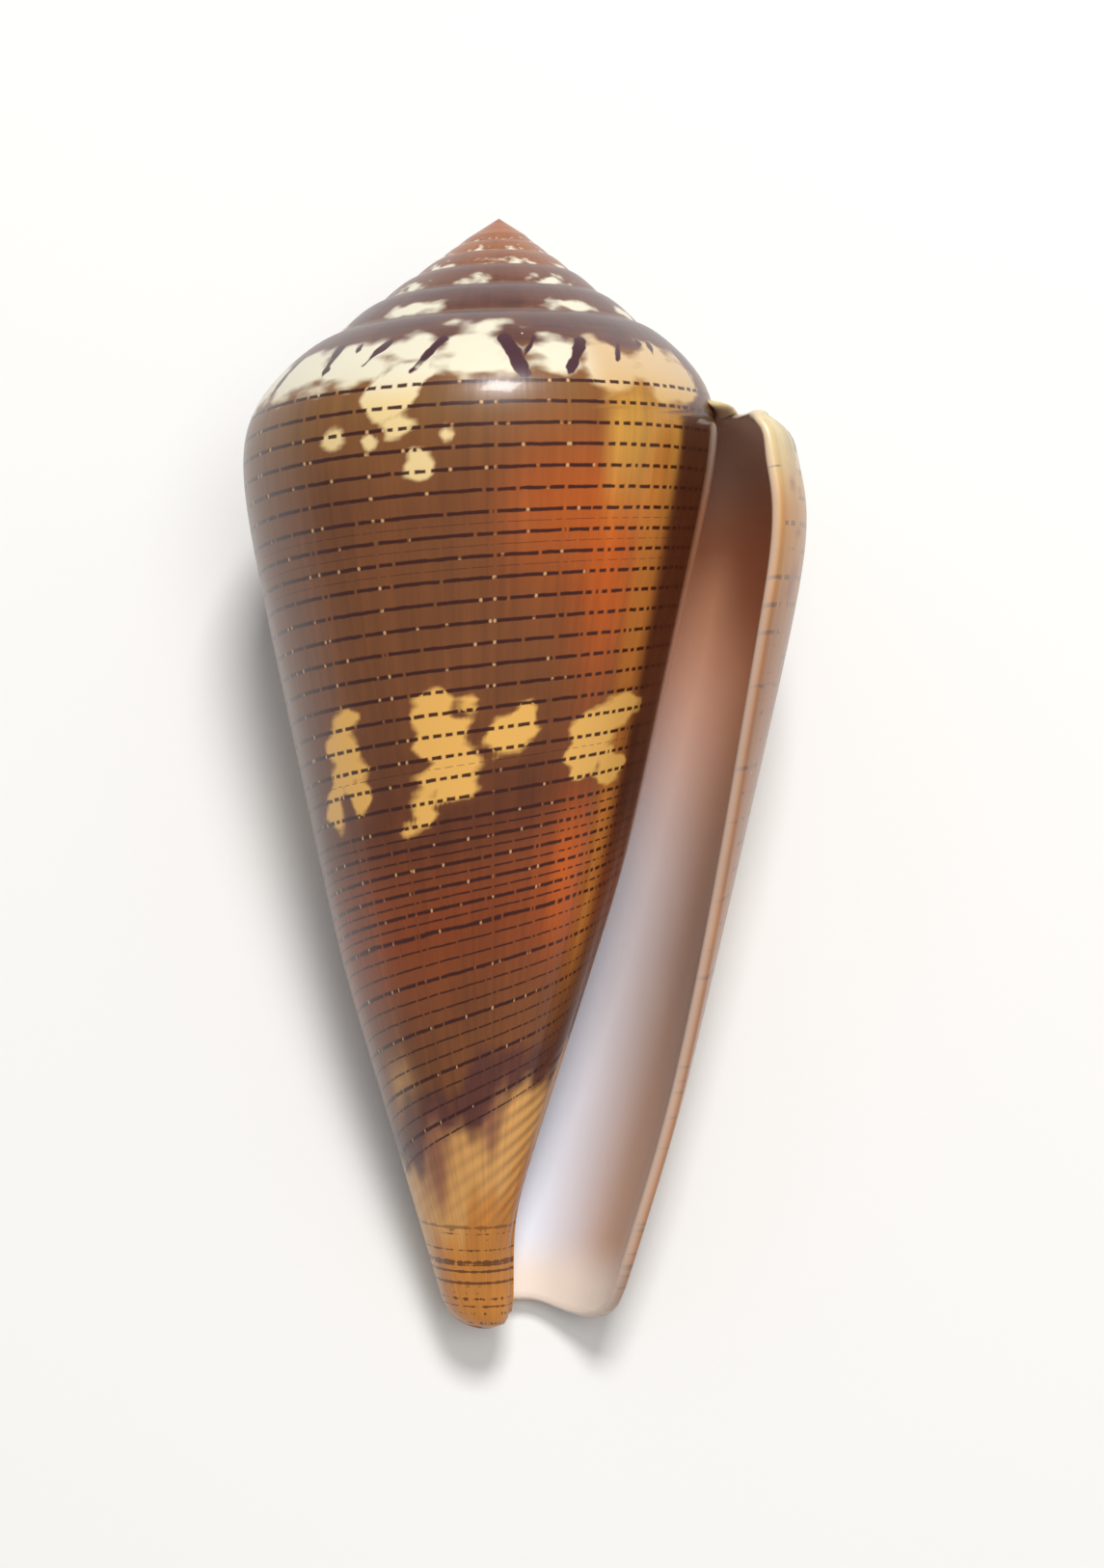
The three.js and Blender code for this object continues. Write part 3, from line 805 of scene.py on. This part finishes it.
def stroke_field(angle, height, strokes):
    """Millimetres inside the nearest stroke: its half width, which tapers to the foot, less the distance
    from the line between its ends."""
    field = np.full(angle.shape, FAR_OUTSIDE)
    for top_angle, top, foot_angle, foot, half in strokes:
        along = np.array([(foot_angle - top_angle) * DEGREES_TO_MM, foot - top])
        across = np.stack([(angle - top_angle) * DEGREES_TO_MM, height - top], -1)
        share = np.clip(across @ along / (along @ along), 0, 1)
        away = np.linalg.norm(across - share[..., None] * along, axis=-1)
        field = np.maximum(field, half * (STROKE_TOP - STROKE_TAPER * share) - away)
    return field


def markings(angle, height):
    """Fields of the light patches and the dark strokes, in mm inside their edges. The spire's spots come
    evenly along its ramp, swaying to and fro, and shrink with the whorls."""
    side, shoulder, strokes = back_markings()
    on_side = patch_field(angle, height, list(SIDE_PATCHES) + side)
    on_shoulder = SHOULDER_SOFTNESS * patch_field(angle, height, list(SHOULDER_PATCHES) + shoulder)
    sway = SPIRE_SWAY * np.sin(angle / SPIRE_SWAY_LENGTH)
    spot_angle = (angle + sway) % SPIRE_SPOT_STEP - SPIRE_SPOT_STEP / 2
    spots = patch_field(spot_angle, height, [(0, SPIRE_SPOT_HEIGHT, SPIRE_SPOT_LENGTH, SPIRE_SPOT_HALF)])
    light = np.where(angle < SPIRE_FROM, spots * growth(angle), np.maximum(on_side, on_shoulder))
    return light, stroke_field(angle, height, list(SHOULDER_STROKES) + strokes)


def paint(colour, other, share):
    """Lays another colour over a field of colours, by a share from 0 to 1."""
    share = np.clip(share, 0, 1)[..., None]
    return colour * (1 - share) + linear(other) * share


def spot(angle, height, share, middle, half_length, level, half_height):
    """Share of a soft round spot: a bell along the whorl times a bell down it."""
    return share * bump(angle, middle, half_length) * bump(height, level, half_height)


def wavy(angle, height):
    """Height with two sine waves added low down, so that the bands of colour there get uneven edges."""
    waves = sum(size * np.sin(angle / length + lean * height) for size, length, lean in EDGE_WAVES)
    return height + rise(height, *EDGE_WAVES_FROM) * waves


# In the colour functions below each colour is laid on by a share. A rise or fall says where it begins
# and over how many degrees or mm it runs, a bump its middle and half width. back is degrees behind the
# lip.
def side_ground(colour, height):
    """Chestnut, lighter and more olive at the shoulder, then a dark band and a red-brown one."""
    colour = paint(colour, OLIVE_TAN, 0.85 * fall(height, 12.5, 9))
    colour = paint(colour, DARK_CHESTNUT, 0.65 * bump(height, 41, 5))
    return paint(colour, RED_BROWN, 0.75 * bump(height, 48, 5))


def scar_ground(colour, angle, height):
    """Orange glows, the yellow and tan stretch along the healed growth scar, and the dark strip before
    the lip."""
    back = -angle
    glow = sum(spot(angle, height, *each) for each in ORANGE_GLOWS)
    colour = paint(colour, ORANGE_GLOW, glow)
    upper = rise(back, 325, 7) * fall(height, 16, 9) * rise(height, 11, 2)
    colour = paint(colour, YELLOW_GROUND, upper * fall(back, 351, 4))
    scar = 0.85 * bump(angle, -346, 5.5) * rise(height, 14, 5) * fall(height, 50, 8)
    colour = paint(colour, SCAR_TAN, scar)
    strip = 0.8 * rise(back, 351.5, 4) * rise(angle, -372, 3) * fall(height, 40, 10)
    return paint(colour, DARK_CHESTNUT, strip)


def front_ground(colour, angle, height):
    """The front end: a purple-brown band, tan ridges with purple stains, and an orange-tan tip."""
    colour = paint(colour, PURPLE_BROWN, 0.75 * rise(height, 57.4, 1.2) * fall(height, 61.4, 1.2))
    colour = paint(colour, RIDGES_TAN, spot(angle, height, 0.8, -243, 10, 57.2, 1.7))
    colour = paint(colour, RIDGES_TAN, rise(height, 60.9, 1.6))
    for each in RIDGE_STAINS:
        colour = paint(colour, RIDGES_PURPLE, spot(angle, height, *each))
    return paint(colour, TIP_TAN, rise(height, 66, 3))


def lip_ground(colour, angle, height):
    """The strip behind the lip: yellow, then orange lower down, cream at the top, purple further back,
    blotched."""
    strip = rise(angle, -75, 35)
    colour = paint(colour, LIP_YELLOW, strip * rise(height, 11, 3))
    colour = paint(colour, LIP_ORANGE, 0.9 * strip * rise(height, 13, 12))
    colour = paint(colour, LIP_CREAM, rise(angle, -85, 35) * fall(height, 11, 5))
    outer = 0.85 * bump(angle, -26, 6.5) * rise(height, 13, 6) * fall(height, 42, 14)
    colour = paint(colour, LIP_PURPLE, outer)
    for each in LIP_BLOTCHES:
        colour = paint(colour, LIP_BLOTCH, spot(angle, height, *each))
    return colour


def spire_ground(colour, angle, height):
    """The ramp: purple-brown, browner up the spire and orange at the apex."""
    back = -angle
    colour = paint(colour, RAMP_PURPLE, fall(height, 10.6, 1.0) * fall(angle, -85, 30))
    colour = paint(colour, SPIRE_BROWN, 0.8 * rise(back, 560, 400))
    return paint(colour, APEX_ORANGE, rise(back, 1150, 450))


def ground_colour(angle, height):
    """Colour between the markings."""
    height = wavy(angle, height)
    colour = np.broadcast_to(linear(CHESTNUT), height.shape + (3,))
    colour = side_ground(colour, height)
    colour = scar_ground(colour, angle, height)
    colour = front_ground(colour, angle, height)
    colour = lip_ground(colour, angle, height)
    return spire_ground(colour, angle, height)


def patch_colour(angle, height):
    """Light patches: white at the shoulder, cream below it, yellow further down and beside the growth
    scar."""
    colour = np.broadcast_to(linear(PATCH_WHITE), height.shape + (3,))
    colour = paint(colour, PATCH_CREAM, rise(height, 12.2, 3))
    colour = paint(colour, YELLOW_GROUND, 0.6 * rise(-angle, 318, 12) * rise(angle, -372, 5))
    return paint(colour, PATCH_YELLOW, rise(height, 18, 14))


def inside_colour_and_painted_light(angle, drop):
    """The room: brown at the top, tan near the lip, bluish pearl deeper in and lower down, cream at the
    front edge. The brown at the top is painted lighter than the lining is, as painted light in place of
    the shade that falls there, and the cream at the top of the room is painted light shining through the
    thin wall."""
    # brown, lightened to stand in for the light that the shaded top of the room lacks: painted light
    colour = np.broadcast_to(linear(INSIDE_BROWN_AND_PAINTED_LIGHT), angle.shape + (3,))
    on_floor = angle < -TURN + 40
    depth = np.where(on_floor, 1.0, rise(-angle, 25, 70))
    colour = paint(colour, INSIDE_TAN, rise(drop, 22, 18))
    colour = paint(colour, INSIDE_PEARL, depth * rise(drop, 17, 20))
    colour = paint(colour, INSIDE_CREAM_AND_PAINTED_GLOW, rise(angle, -32, 24))
    # cream at the top of the room: painted light shining through the thin wall there
    colour = paint(colour, INSIDE_CREAM_AND_PAINTED_GLOW, fall(drop, 11, 6))
    return paint(colour, INSIDE_CREAM_AND_PAINTED_GLOW, rise(drop, 54.5, 3))


def line_number(height):
    """Number of the spiral line at a height: one more for each step, which is wider low down."""
    below = height - LINE_HEIGHTS[1]
    upper = (height - LINE_HEIGHTS[0]) / LINE_STEP
    return np.where(below < 0, upper, LINE_NUMBERS[1] + below / FEW_LINE_STEP)


def give_corners(mesh, corner, name, kind, slot, values):
    """Stores one value per point on the corners of the faces, which keep it when the points are welded."""
    layer = mesh.attributes.new(name, kind, "CORNER")
    layer.data.foreach_set(slot, values[corner].astype(np.float32).reshape(-1))


def make_mesh(name, surface):
    """One mesh from the gathered grids, with the numbers and colours that the material reads."""
    points = np.concatenate(surface.points) * MM
    faces = np.concatenate(surface.faces)
    mesh = bpy.data.meshes.new(name)
    mesh.vertices.add(len(points))
    mesh.vertices.foreach_set("co", points.astype(np.float32).reshape(-1))
    mesh.loops.add(faces.size)
    mesh.loops.foreach_set("vertex_index", faces.reshape(-1).astype(np.int32))
    mesh.polygons.add(len(faces))
    mesh.polygons.foreach_set("loop_start", (np.arange(len(faces)) * 4).astype(np.int32))
    mesh.update(calc_edges=True)
    corner = faces.reshape(-1)
    angle = np.concatenate(surface.angle)
    drop = np.concatenate(surface.drop)
    inside = np.concatenate(surface.inside)
    height = height_of(angle, drop)
    light, dark = markings(angle, height)
    numbers = {
        "line_number": line_number(height),
        "inside": inside,
        "light_patch": light,
        "dark_stroke": dark,
        "drop": drop,
    }
    for field, values in numbers.items():
        give_corners(mesh, corner, field, "FLOAT", "value", values)
    skin = np.stack([angle * DEGREES_TO_MM, height, 0 * angle], -1)
    give_corners(mesh, corner, "skin", "FLOAT_VECTOR", "vector", skin)
    colours = {
        "ground_colour": ground_colour(angle, height),
        "patch_colour": patch_colour(angle, height),
        "inside_colour_and_painted_light": inside_colour_and_painted_light(angle, drop),
    }
    for field, values in colours.items():
        opaque = np.concatenate([values, np.ones((len(values), 1))], 1)
        give_corners(mesh, corner, field, "FLOAT_COLOR", "color", opaque)
    weld(mesh)
    return mesh


def weld(mesh):
    """Merges equal points, fills the one open end, at the back of the room, and turns the faces out."""
    work = bmesh.new()
    work.from_mesh(mesh)
    bmesh.ops.remove_doubles(work, verts=work.verts, dist=WELD)
    bmesh.ops.dissolve_degenerate(work, dist=SLIVER, edges=work.edges)
    bmesh.ops.holes_fill(work, edges=[edge for edge in work.edges if edge.is_boundary], sides=0)
    bmesh.ops.recalc_face_normals(work, faces=work.faces)
    work.to_mesh(mesh)
    work.free()
    mesh.polygons.foreach_set("use_smooth", np.ones(len(mesh.polygons), bool))


def add(tree, kind, *values, out=0, **settings):
    """Adds one node with its settings; each value goes to the next input, as a link where it is another's
    output."""
    made = tree.nodes.new(kind)
    for name, value in settings.items():
        setattr(made, name, value)
    sockets = [socket for socket in made.inputs if socket.enabled]
    for socket, value in zip(sockets, values):
        if isinstance(value, bpy.types.NodeSocket):
            tree.links.new(value, socket)
        elif value is not None:
            socket.default_value = value
    if isinstance(out, str):
        return made.outputs[out]
    return [socket for socket in made.outputs if socket.enabled][out]


def rgba(code):
    """sRGB hex to a shader colour."""
    return (*linear(code), 1.0)


def nearest_line(tree, skin):
    """The nearest spiral line's number, 1 where the spacing is wide, and the distance from the line in
    mm."""
    number = add(tree, ATTRIBUTE, attribute_name="line_number", out="Fac")
    wobble_at = add(tree, VECTOR_MATHS, skin, WOBBLE_PER_MM, operation="MULTIPLY")
    wobble = add(tree, NOISE, wobble_at, 1.0, 2.0)
    number = add(tree, MATHS, number, -LINE_WOBBLE / 2)
    number = add(tree, MATHS, wobble, LINE_WOBBLE, number, operation="MULTIPLY_ADD")
    line = add(tree, MATHS, number, operation="ROUND")
    away = add(tree, MATHS, number, line, operation="SUBTRACT")
    away = add(tree, MATHS, away, operation="ABSOLUTE")
    few = add(tree, MATHS, line, FEW_LINES_FROM, operation="GREATER_THAN")
    step = add(tree, MATHS, few, FEW_LINE_STEP - LINE_STEP, LINE_STEP, operation="MULTIPLY_ADD")
    away = add(tree, MATHS, away, step, operation="MULTIPLY")
    return line, few, away


def line_is_thin(tree, line, few):
    """1 for every second line, and low down for two lines of every three."""
    odd = add(tree, MATHS, line, 2.0, operation="FLOORED_MODULO")
    odd = add(tree, MATHS, odd, 0.5, operation="GREATER_THAN")
    third = add(tree, MATHS, line, -LINE_NUMBERS[1])
    third = add(tree, MATHS, third, THIN_LINES_BETWEEN, operation="FLOORED_MODULO")
    not_third = add(tree, MATHS, third, 0.5, operation="GREATER_THAN")
    return add(tree, MIX, few, odd, not_third)


def line_ink(tree, skin, line, thin, away):
    """Share of pigment across a line of uneven width. High up only a few of the thin lines show, and
    faintly."""
    chance = add(tree, "ShaderNodeTexWhiteNoise", line, noise_dimensions="1D", out="Value")
    faint = add(tree, MATHS, chance, FAINT_CHANCE, operation="GREATER_THAN")
    faint = add(tree, MATHS, faint, FAINT_SHARE, operation="MULTIPLY")
    low = add(tree, MATHS, line, THIN_LINES_FROM, operation="GREATER_THAN")
    shown = add(tree, MATHS, low, faint, operation="MAXIMUM")
    thin_half = add(tree, MATHS, shown, THIN_LINE_HALF + LINE_BLUR, -LINE_BLUR, operation="MULTIPLY_ADD")
    half = add(tree, MIX, thin, LINE_HALF, thin_half)
    uneven_at = add(tree, VECTOR_MATHS, skin, UNEVEN_PER_MM, operation="MULTIPLY")
    uneven = add(tree, NOISE, uneven_at, 1.0, 2.0)
    uneven = add(tree, MATHS, uneven, UNEVEN_SPREAD, UNEVEN_LEAST, operation="MULTIPLY_ADD")
    half = add(tree, MATHS, half, uneven, operation="MULTIPLY")
    inner = add(tree, MATHS, half, -LINE_BLUR)
    outer = add(tree, MATHS, half, LINE_BLUR)
    return add(tree, RANGE, away, inner, outer, 1.0, 0.0, interpolation_type="SMOOTHSTEP")


def dash_ends(tree, across, line):
    """Distances in mm from the nearest gap along a line, for the long dashes and for the short ones. Each
    line has gaps of its own, and some gaps of the long dashes line up across the lines, at the ends of
    old growth."""
    shift = add(tree, MATHS, line, LINE_OFFSET, operation="MULTIPLY")
    ends = []
    for length in (DASH, DOT):
        way = add(tree, MATHS, across, 1 / length, shift, operation="MULTIPLY_ADD")
        gap = add(tree, VORONOI, way, 1.0, voronoi_dimensions="1D", feature="DISTANCE_TO_EDGE")
        ends.append(add(tree, MATHS, gap, length, operation="MULTIPLY"))
    way = add(tree, MATHS, across, 1 / SHARED_GAP, operation="MULTIPLY")
    shared = add(tree, VORONOI, way, 1.0, voronoi_dimensions="1D", feature="DISTANCE_TO_EDGE")
    shared = add(tree, MATHS, shared, SHARED_GAP, operation="MULTIPLY")
    return add(tree, MATHS, ends[0], shared, operation="MINIMUM"), ends[1]


def spiral_lines(tree, skin, light):
    """Dashed dark lines along the growth spiral: their share, and the share of the pale dots in their
    gaps. The dashes are short beyond the growth scar, on the strip behind the lip and in the light
    patches."""
    across = add(tree, "ShaderNodeSeparateXYZ", skin, out="X")
    line, few, away = nearest_line(tree, skin)
    thin = line_is_thin(tree, line, few)
    inked = line_ink(tree, skin, line, thin, away)
    long_end, short_end = dash_ends(tree, across, line)
    long_dash = add(tree, RANGE, long_end, *DASH_END, 0.0, 1.0)
    short_dash = add(tree, RANGE, short_end, *DOT_END, 0.0, 1.0)
    beyond = add(tree, MATHS, across, SHORT_DASHES_BEYOND, operation="LESS_THAN")
    near_lip = add(tree, MATHS, across, LIP_STRIP_FROM, operation="GREATER_THAN")
    in_patch = add(tree, MATHS, light, 0.5, operation="GREATER_THAN")
    short = add(tree, MATHS, beyond, near_lip, operation="MAXIMUM")
    short = add(tree, MATHS, short, in_patch, operation="MAXIMUM")
    dash = add(tree, MIX, short, long_dash, short_dash)
    started = add(tree, MATHS, line, FIRST_LINE, operation="GREATER_THAN")
    ended = add(tree, MATHS, line, LAST_LINE, operation="LESS_THAN")
    on_side = add(tree, MATHS, started, ended, operation="MULTIPLY")
    fading_at = add(tree, VECTOR_MATHS, skin, FADING_PER_MM, operation="MULTIPLY")
    fading = add(tree, NOISE, fading_at, 1.0, 1.0)

    missing = add(tree, RANGE, fading, *LINE_FADING, 0.0, 1.0)
    weak = add(tree, MATHS, missing, LIP_LINE_SHARE, -1.0, operation="MULTIPLY_ADD")
    weak = add(tree, MATHS, near_lip, weak, 1.0, operation="MULTIPLY_ADD")
    dashed = add(tree, MATHS, inked, dash, operation="MULTIPLY")
    dashed = add(tree, MATHS, dashed, weak, operation="MULTIPLY")
    dashed = add(tree, MATHS, dashed, on_side, operation="MULTIPLY")

    along_squared = add(tree, MATHS, long_end, 2.0, operation="POWER")
    away_squared = add(tree, MATHS, away, 2.0, operation="POWER")
    reach = add(tree, MATHS, along_squared, away_squared)
    dot = add(tree, RANGE, reach, *PALE_DOT_REACH, 1.0, 0.0)
    some = add(tree, RANGE, fading, *DOT_FADING, 0.0, 1.0)
    long_here = add(tree, MATHS, 1.0, short, operation="SUBTRACT")
    strong = add(tree, MATHS, 1.0, thin, operation="SUBTRACT")
    for limit in (strong, some, on_side, long_here):
        dot = add(tree, MATHS, dot, limit, operation="MULTIPLY")
    return dashed, dot


def streaked_ground(tree, skin, level, streaks, clouds):
    """Ground colour with fine growth streaks and soft clouds, and with fine lines along the ramp."""
    ground = add(tree, ATTRIBUTE, attribute_name="ground_colour", out="Color")
    shade = add(tree, MATHS, streaks, clouds)
    shade = add(tree, MATHS, shade, STREAK_DEPTH, 1 - STREAK_DEPTH, operation="MULTIPLY_ADD")
    grain_at = add(tree, VECTOR_MATHS, skin, GRAIN_PER_MM, operation="MULTIPLY")
    grain = add(tree, NOISE, grain_at, 1.0, 2.0)
    grain = add(tree, MATHS, grain, -0.5)
    on_ramp = add(tree, RANGE, level, *GRAIN_END, GRAIN_DEPTH, 0.0)
    shade = add(tree, MATHS, grain, on_ramp, shade, operation="MULTIPLY_ADD")
    return add(tree, VECTOR_MATHS, ground, shade, operation="MULTIPLY")


def light_patches(tree, base, ragged):
    """Cream patches with ragged edges and a brown halo round them, and the dark strokes between them."""
    light = add(tree, ATTRIBUTE, attribute_name="light_patch", out="Fac")
    patch = add(tree, ATTRIBUTE, attribute_name="patch_colour", out="Color")
    dark = add(tree, ATTRIBUTE, attribute_name="dark_stroke", out="Fac")
    rags = add(tree, MATHS, ragged, -0.5)
    edge = add(tree, MATHS, rags, RAG_DEPTH, light, operation="MULTIPLY_ADD")
    smooth = "SMOOTHSTEP"
    in_light = add(tree, RANGE, edge, -PATCH_BLUR, PATCH_BLUR, 0.0, 1.0, interpolation_type=smooth)
    halo = add(tree, RANGE, edge, -HALO_WIDTH, HALO_END, 0.0, HALO_SHARE, interpolation_type=smooth)
    stroke = add(tree, MATHS, rags, STROKE_RAG, dark, operation="MULTIPLY_ADD")
    in_stroke = add(tree, RANGE, stroke, -STROKE_BLUR, STROKE_BLUR, 0.0, 1.0, interpolation_type=smooth)
    base = add(tree, MIX, halo, base, rgba(HALO_BROWN), data_type="RGBA")
    base = add(tree, MIX, in_light, base, patch, data_type="RGBA")
    return add(tree, MIX, in_stroke, base, rgba(STAIN_PURPLE), data_type="RGBA"), in_light


def dashed_lines(tree, base, skin, in_light):
    """The pale dots and then the dark dashes of the spiral lines."""
    dashed, dots = spiral_lines(tree, skin, in_light)
    dots = add(tree, MATHS, dots, DOT_SHARE, operation="MULTIPLY")
    dashed = add(tree, MATHS, dashed, LINE_SHARE, operation="MULTIPLY")
    base = add(tree, MIX, dots, base, rgba(LINE_DOT), data_type="RGBA")
    return add(tree, MIX, dashed, base, rgba(LINE_BROWN), data_type="RGBA")


def tip_lines(tree, base, ragged):
    """Broken brown rings round the front tip; also gives 1 on the tip and 0 before it."""
    along_axis = add(tree, ATTRIBUTE, attribute_name="drop", out="Fac")
    ring_at = add(tree, MATHS, along_axis, TIP_LINES_PER_MM, operation="MULTIPLY")
    rings = add(tree, NOISE, ring_at, 1.0, 2.0, noise_dimensions="1D")
    broken = add(tree, MATHS, ragged, TIP_LINE_BREAKS, rings, operation="MULTIPLY_ADD")
    limit = TIP_LINE_LEVEL + TIP_LINE_BLUR
    line = add(tree, RANGE, broken, TIP_LINE_LEVEL, limit, 0.0, TIP_LINE_SHARE)
    on_tip = add(tree, RANGE, along_axis, TIP_LINES_FROM, TIP_LINES_FROM + TIP_LINES_EASE, 0.0, 1.0)
    line = add(tree, MATHS, line, on_tip, operation="MULTIPLY")
    return add(tree, MIX, line, base, rgba(LINE_BROWN), data_type="RGBA"), on_tip


def room_lining(tree, base, inside, clouds):
    """The smooth lining of the room, with its painted light, in place of the outside's colours."""
    room = add(tree, ATTRIBUTE, attribute_name="inside_colour_and_painted_light", out="Color")
    shade = add(tree, MATHS, clouds, ROOM_CLOUDS, ROOM_SHADE, operation="MULTIPLY_ADD")
    lined = add(tree, VECTOR_MATHS, room, shade, operation="MULTIPLY")
    return add(tree, MIX, inside, base, lined, data_type="RGBA")


def specks(tree, base):
    """Pale pits, dark grains and a few larger green ones, each a small ball in some of the cells of a 3-D
    pattern."""
    where = add(tree, "ShaderNodeTexCoord", out="Object")
    for colour, cell, reach, rarity in SPECKS:
        distance = add(tree, VORONOI, where, 1 / (cell * MM), out="Distance")
        picked = add(tree, "ShaderNodeSeparateColor", distance.node.outputs["Color"], out="Red")
        near = add(tree, MATHS, distance, reach / cell, operation="LESS_THAN")
        rare = add(tree, MATHS, picked, rarity, operation="GREATER_THAN")
        speck = add(tree, MATHS, near, rare, operation="MULTIPLY")
        base = add(tree, MIX, speck, base, rgba(colour), data_type="RGBA")
    return base


def relief(tree, level, streaks, inside, on_tip):
    """Normal of the outside: oblique ridges above the tip, a sine of the height, and faint growth lines."""
    ridge = add(tree, MATHS, level, 2 * math.pi / RIDGE_STEP, operation="MULTIPLY")
    ridge = add(tree, MATHS, ridge, operation="SINE")
    ends = (RIDGES_FROM, RIDGES_FROM + RIDGES_EASE)
    depth = add(tree, RANGE, level, *ends, 0.0, RIDGE_HEIGHT, interpolation_type="SMOOTHSTEP")
    before_tip = add(tree, MATHS, 1.0, on_tip, operation="SUBTRACT")
    depth = add(tree, MATHS, depth, before_tip, operation="MULTIPLY")
    raised = add(tree, MATHS, ridge, depth, operation="MULTIPLY")
    raised = add(tree, MATHS, streaks, GROWTH_LINE_HEIGHT, raised, operation="MULTIPLY_ADD")
    outside = add(tree, MATHS, 1.0, inside, operation="SUBTRACT")
    raised = add(tree, MATHS, raised, outside, operation="MULTIPLY")
    return add(tree, "ShaderNodeBump", 1.0, MM, None, raised, out="Normal")


def shell_lime():
    """Polished shell lime, laid down in thin growth layers under a clear natural gloss. It gives the eye
    a deep chestnut with light growth streaks, dark pigment lines, cream patches and a mirror-like skin
    over it all."""
    material = bpy.data.materials.new("polished shell lime")
    material.use_nodes = True
    tree = material.node_tree
    shader = tree.nodes["Principled BSDF"]
    skin = add(tree, ATTRIBUTE, attribute_name="skin", out="Vector")
    inside = add(tree, ATTRIBUTE, attribute_name="inside", out="Fac")
    level = add(tree, "ShaderNodeSeparateXYZ", skin, out="Y")
    streak_at = add(tree, VECTOR_MATHS, skin, STREAKS_PER_MM, operation="MULTIPLY")
    streaks = add(tree, NOISE, streak_at, 1.0, 4.0, 0.6)
    cloud_at = add(tree, VECTOR_MATHS, skin, CLOUDS_PER_MM, operation="MULTIPLY")
    clouds = add(tree, NOISE, cloud_at, 1.0, 3.0)
    ragged_at = add(tree, VECTOR_MATHS, skin, RAGS_PER_MM, operation="MULTIPLY")
    ragged = add(tree, NOISE, ragged_at, 1.0, 2.0, 0.35)

    base = streaked_ground(tree, skin, level, streaks, clouds)
    base, in_light = light_patches(tree, base, ragged)
    base = dashed_lines(tree, base, skin, in_light)
    base, on_tip = tip_lines(tree, base, ragged)
    base = room_lining(tree, base, inside, clouds)
    tree.links.new(specks(tree, base), shader.inputs["Base Color"])
    least = ROUGHNESS - ROUGHNESS_SPREAD / 2
    dull = add(tree, MATHS, clouds, ROUGHNESS_SPREAD, least, operation="MULTIPLY_ADD")
    tree.links.new(dull, shader.inputs["Roughness"])
    shader.inputs["IOR"].default_value = SHELL_IOR
    shader.inputs["Coat Weight"].default_value = GLOSS
    shader.inputs["Coat Roughness"].default_value = GLOSS_ROUGHNESS
    normal = relief(tree, level, streaks, inside, on_tip)
    tree.links.new(normal, shader.inputs["Normal"])
    return material


def build_shell():
    """The shell as one closed piece, in place of the solid."""
    mesh = make_mesh("cone_shell", shell_surface())
    mesh.materials.append(shell_lime())
    shell = bpy.data.objects.new("cone_shell", mesh)
    bpy.context.scene.collection.objects.link(shell)
    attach(shell, "root")
    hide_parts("shell")


def make_camera():
    """Square on to the coiling axis, so it looks down on the laid-back shell."""
    tilt, roll = math.radians(VIEW_TILT), math.radians(VIEW_ROLL)
    # shell axes: x right, y up the axis from its middle, z towards the camera
    lean = Matrix(((1, 0, 0), (0, math.cos(tilt), math.sin(tilt)), (0, -math.sin(tilt), math.cos(tilt))))
    turn = Matrix(((math.cos(roll), math.sin(roll), 0), (-math.sin(roll), math.cos(roll), 0), (0, 0, 1)))
    view = turn @ lean
    aim = Vector((APEX_RIGHT, APEX_UP - AXIS_MIDDLE, 0))
    eye = view.transposed() @ (Vector((0, 0, VIEW_DISTANCE)) - aim)
    eye.y -= AXIS_MIDDLE
    rest = Matrix.Rotation(math.radians(RESTING_TILT), 3, "X")
    eye_at = rest @ eye + Vector(APEX_AT)
    axes = rest @ view.transposed()
    data = bpy.data.cameras.new("camera")
    data.sensor_width = SENSOR
    data.lens = SENSOR * VIEW_DISTANCE / VIEW_HEIGHT
    data.clip_start = NEAREST_SEEN
    camera = bpy.data.objects.new("camera", data)
    camera.matrix_world = Matrix.Translation(eye_at * MM) @ axes.to_4x4()
    bpy.context.scene.collection.objects.link(camera)
    bpy.context.scene.camera = camera


def make_floor():
    """A plain pale floor, matt like painted board."""
    half = FLOOR_HALF
    corners = [(-half, -half, 0), (half, -half, 0), (half, half, 0), (-half, half, 0)]
    mesh = bpy.data.meshes.new("floor")
    mesh.from_pydata(corners, [], [(0, 1, 2, 3)])
    floor = bpy.data.objects.new("floor", mesh)
    bpy.context.scene.collection.objects.link(floor)
    material = bpy.data.materials.new("pale floor")
    material.use_nodes = True
    shader = material.node_tree.nodes["Principled BSDF"]
    shader.inputs["Base Color"].default_value = FLOOR_COLOUR
    shader.inputs["Roughness"].default_value = FLOOR_ROUGHNESS
    mesh.materials.append(material)


def lamp(name, where, size, watts, mirrored=True):
    """A square softbox aimed at the shell; one that isn't mirrored lights it without showing in the
    gloss."""
    data = bpy.data.lights.new(name, "AREA")
    data.shape = "SQUARE"
    data.size = size
    data.energy = watts
    light = bpy.data.objects.new(name, data)
    light.location = where
    light.visible_glossy = mirrored
    light.rotation_mode = "QUATERNION"
    light.rotation_quaternion = (Vector(LIGHT_TARGET) - Vector(where)).to_track_quat("-Z", "Y")
    bpy.context.scene.collection.objects.link(light)


def make_sky():
    """Even white light from all round."""
    world = bpy.data.worlds.new("soft light")
    world.use_nodes = True
    world.node_tree.nodes["Background"].inputs["Color"].default_value = (1, 1, 1, 1)
    world.node_tree.nodes["Background"].inputs["Strength"].default_value = SKY_STRENGTH
    bpy.context.scene.world = world


build_shell()
make_camera()
make_floor()
lamp("apex softbox", (0.05, 0.22, 0.45), 0.12, 1.9)
lamp("front fill", (0.08, -0.03, 0.5), 0.25, 1.0, mirrored=False)
make_sky()
bpy.context.scene.view_settings.view_transform = "Standard"
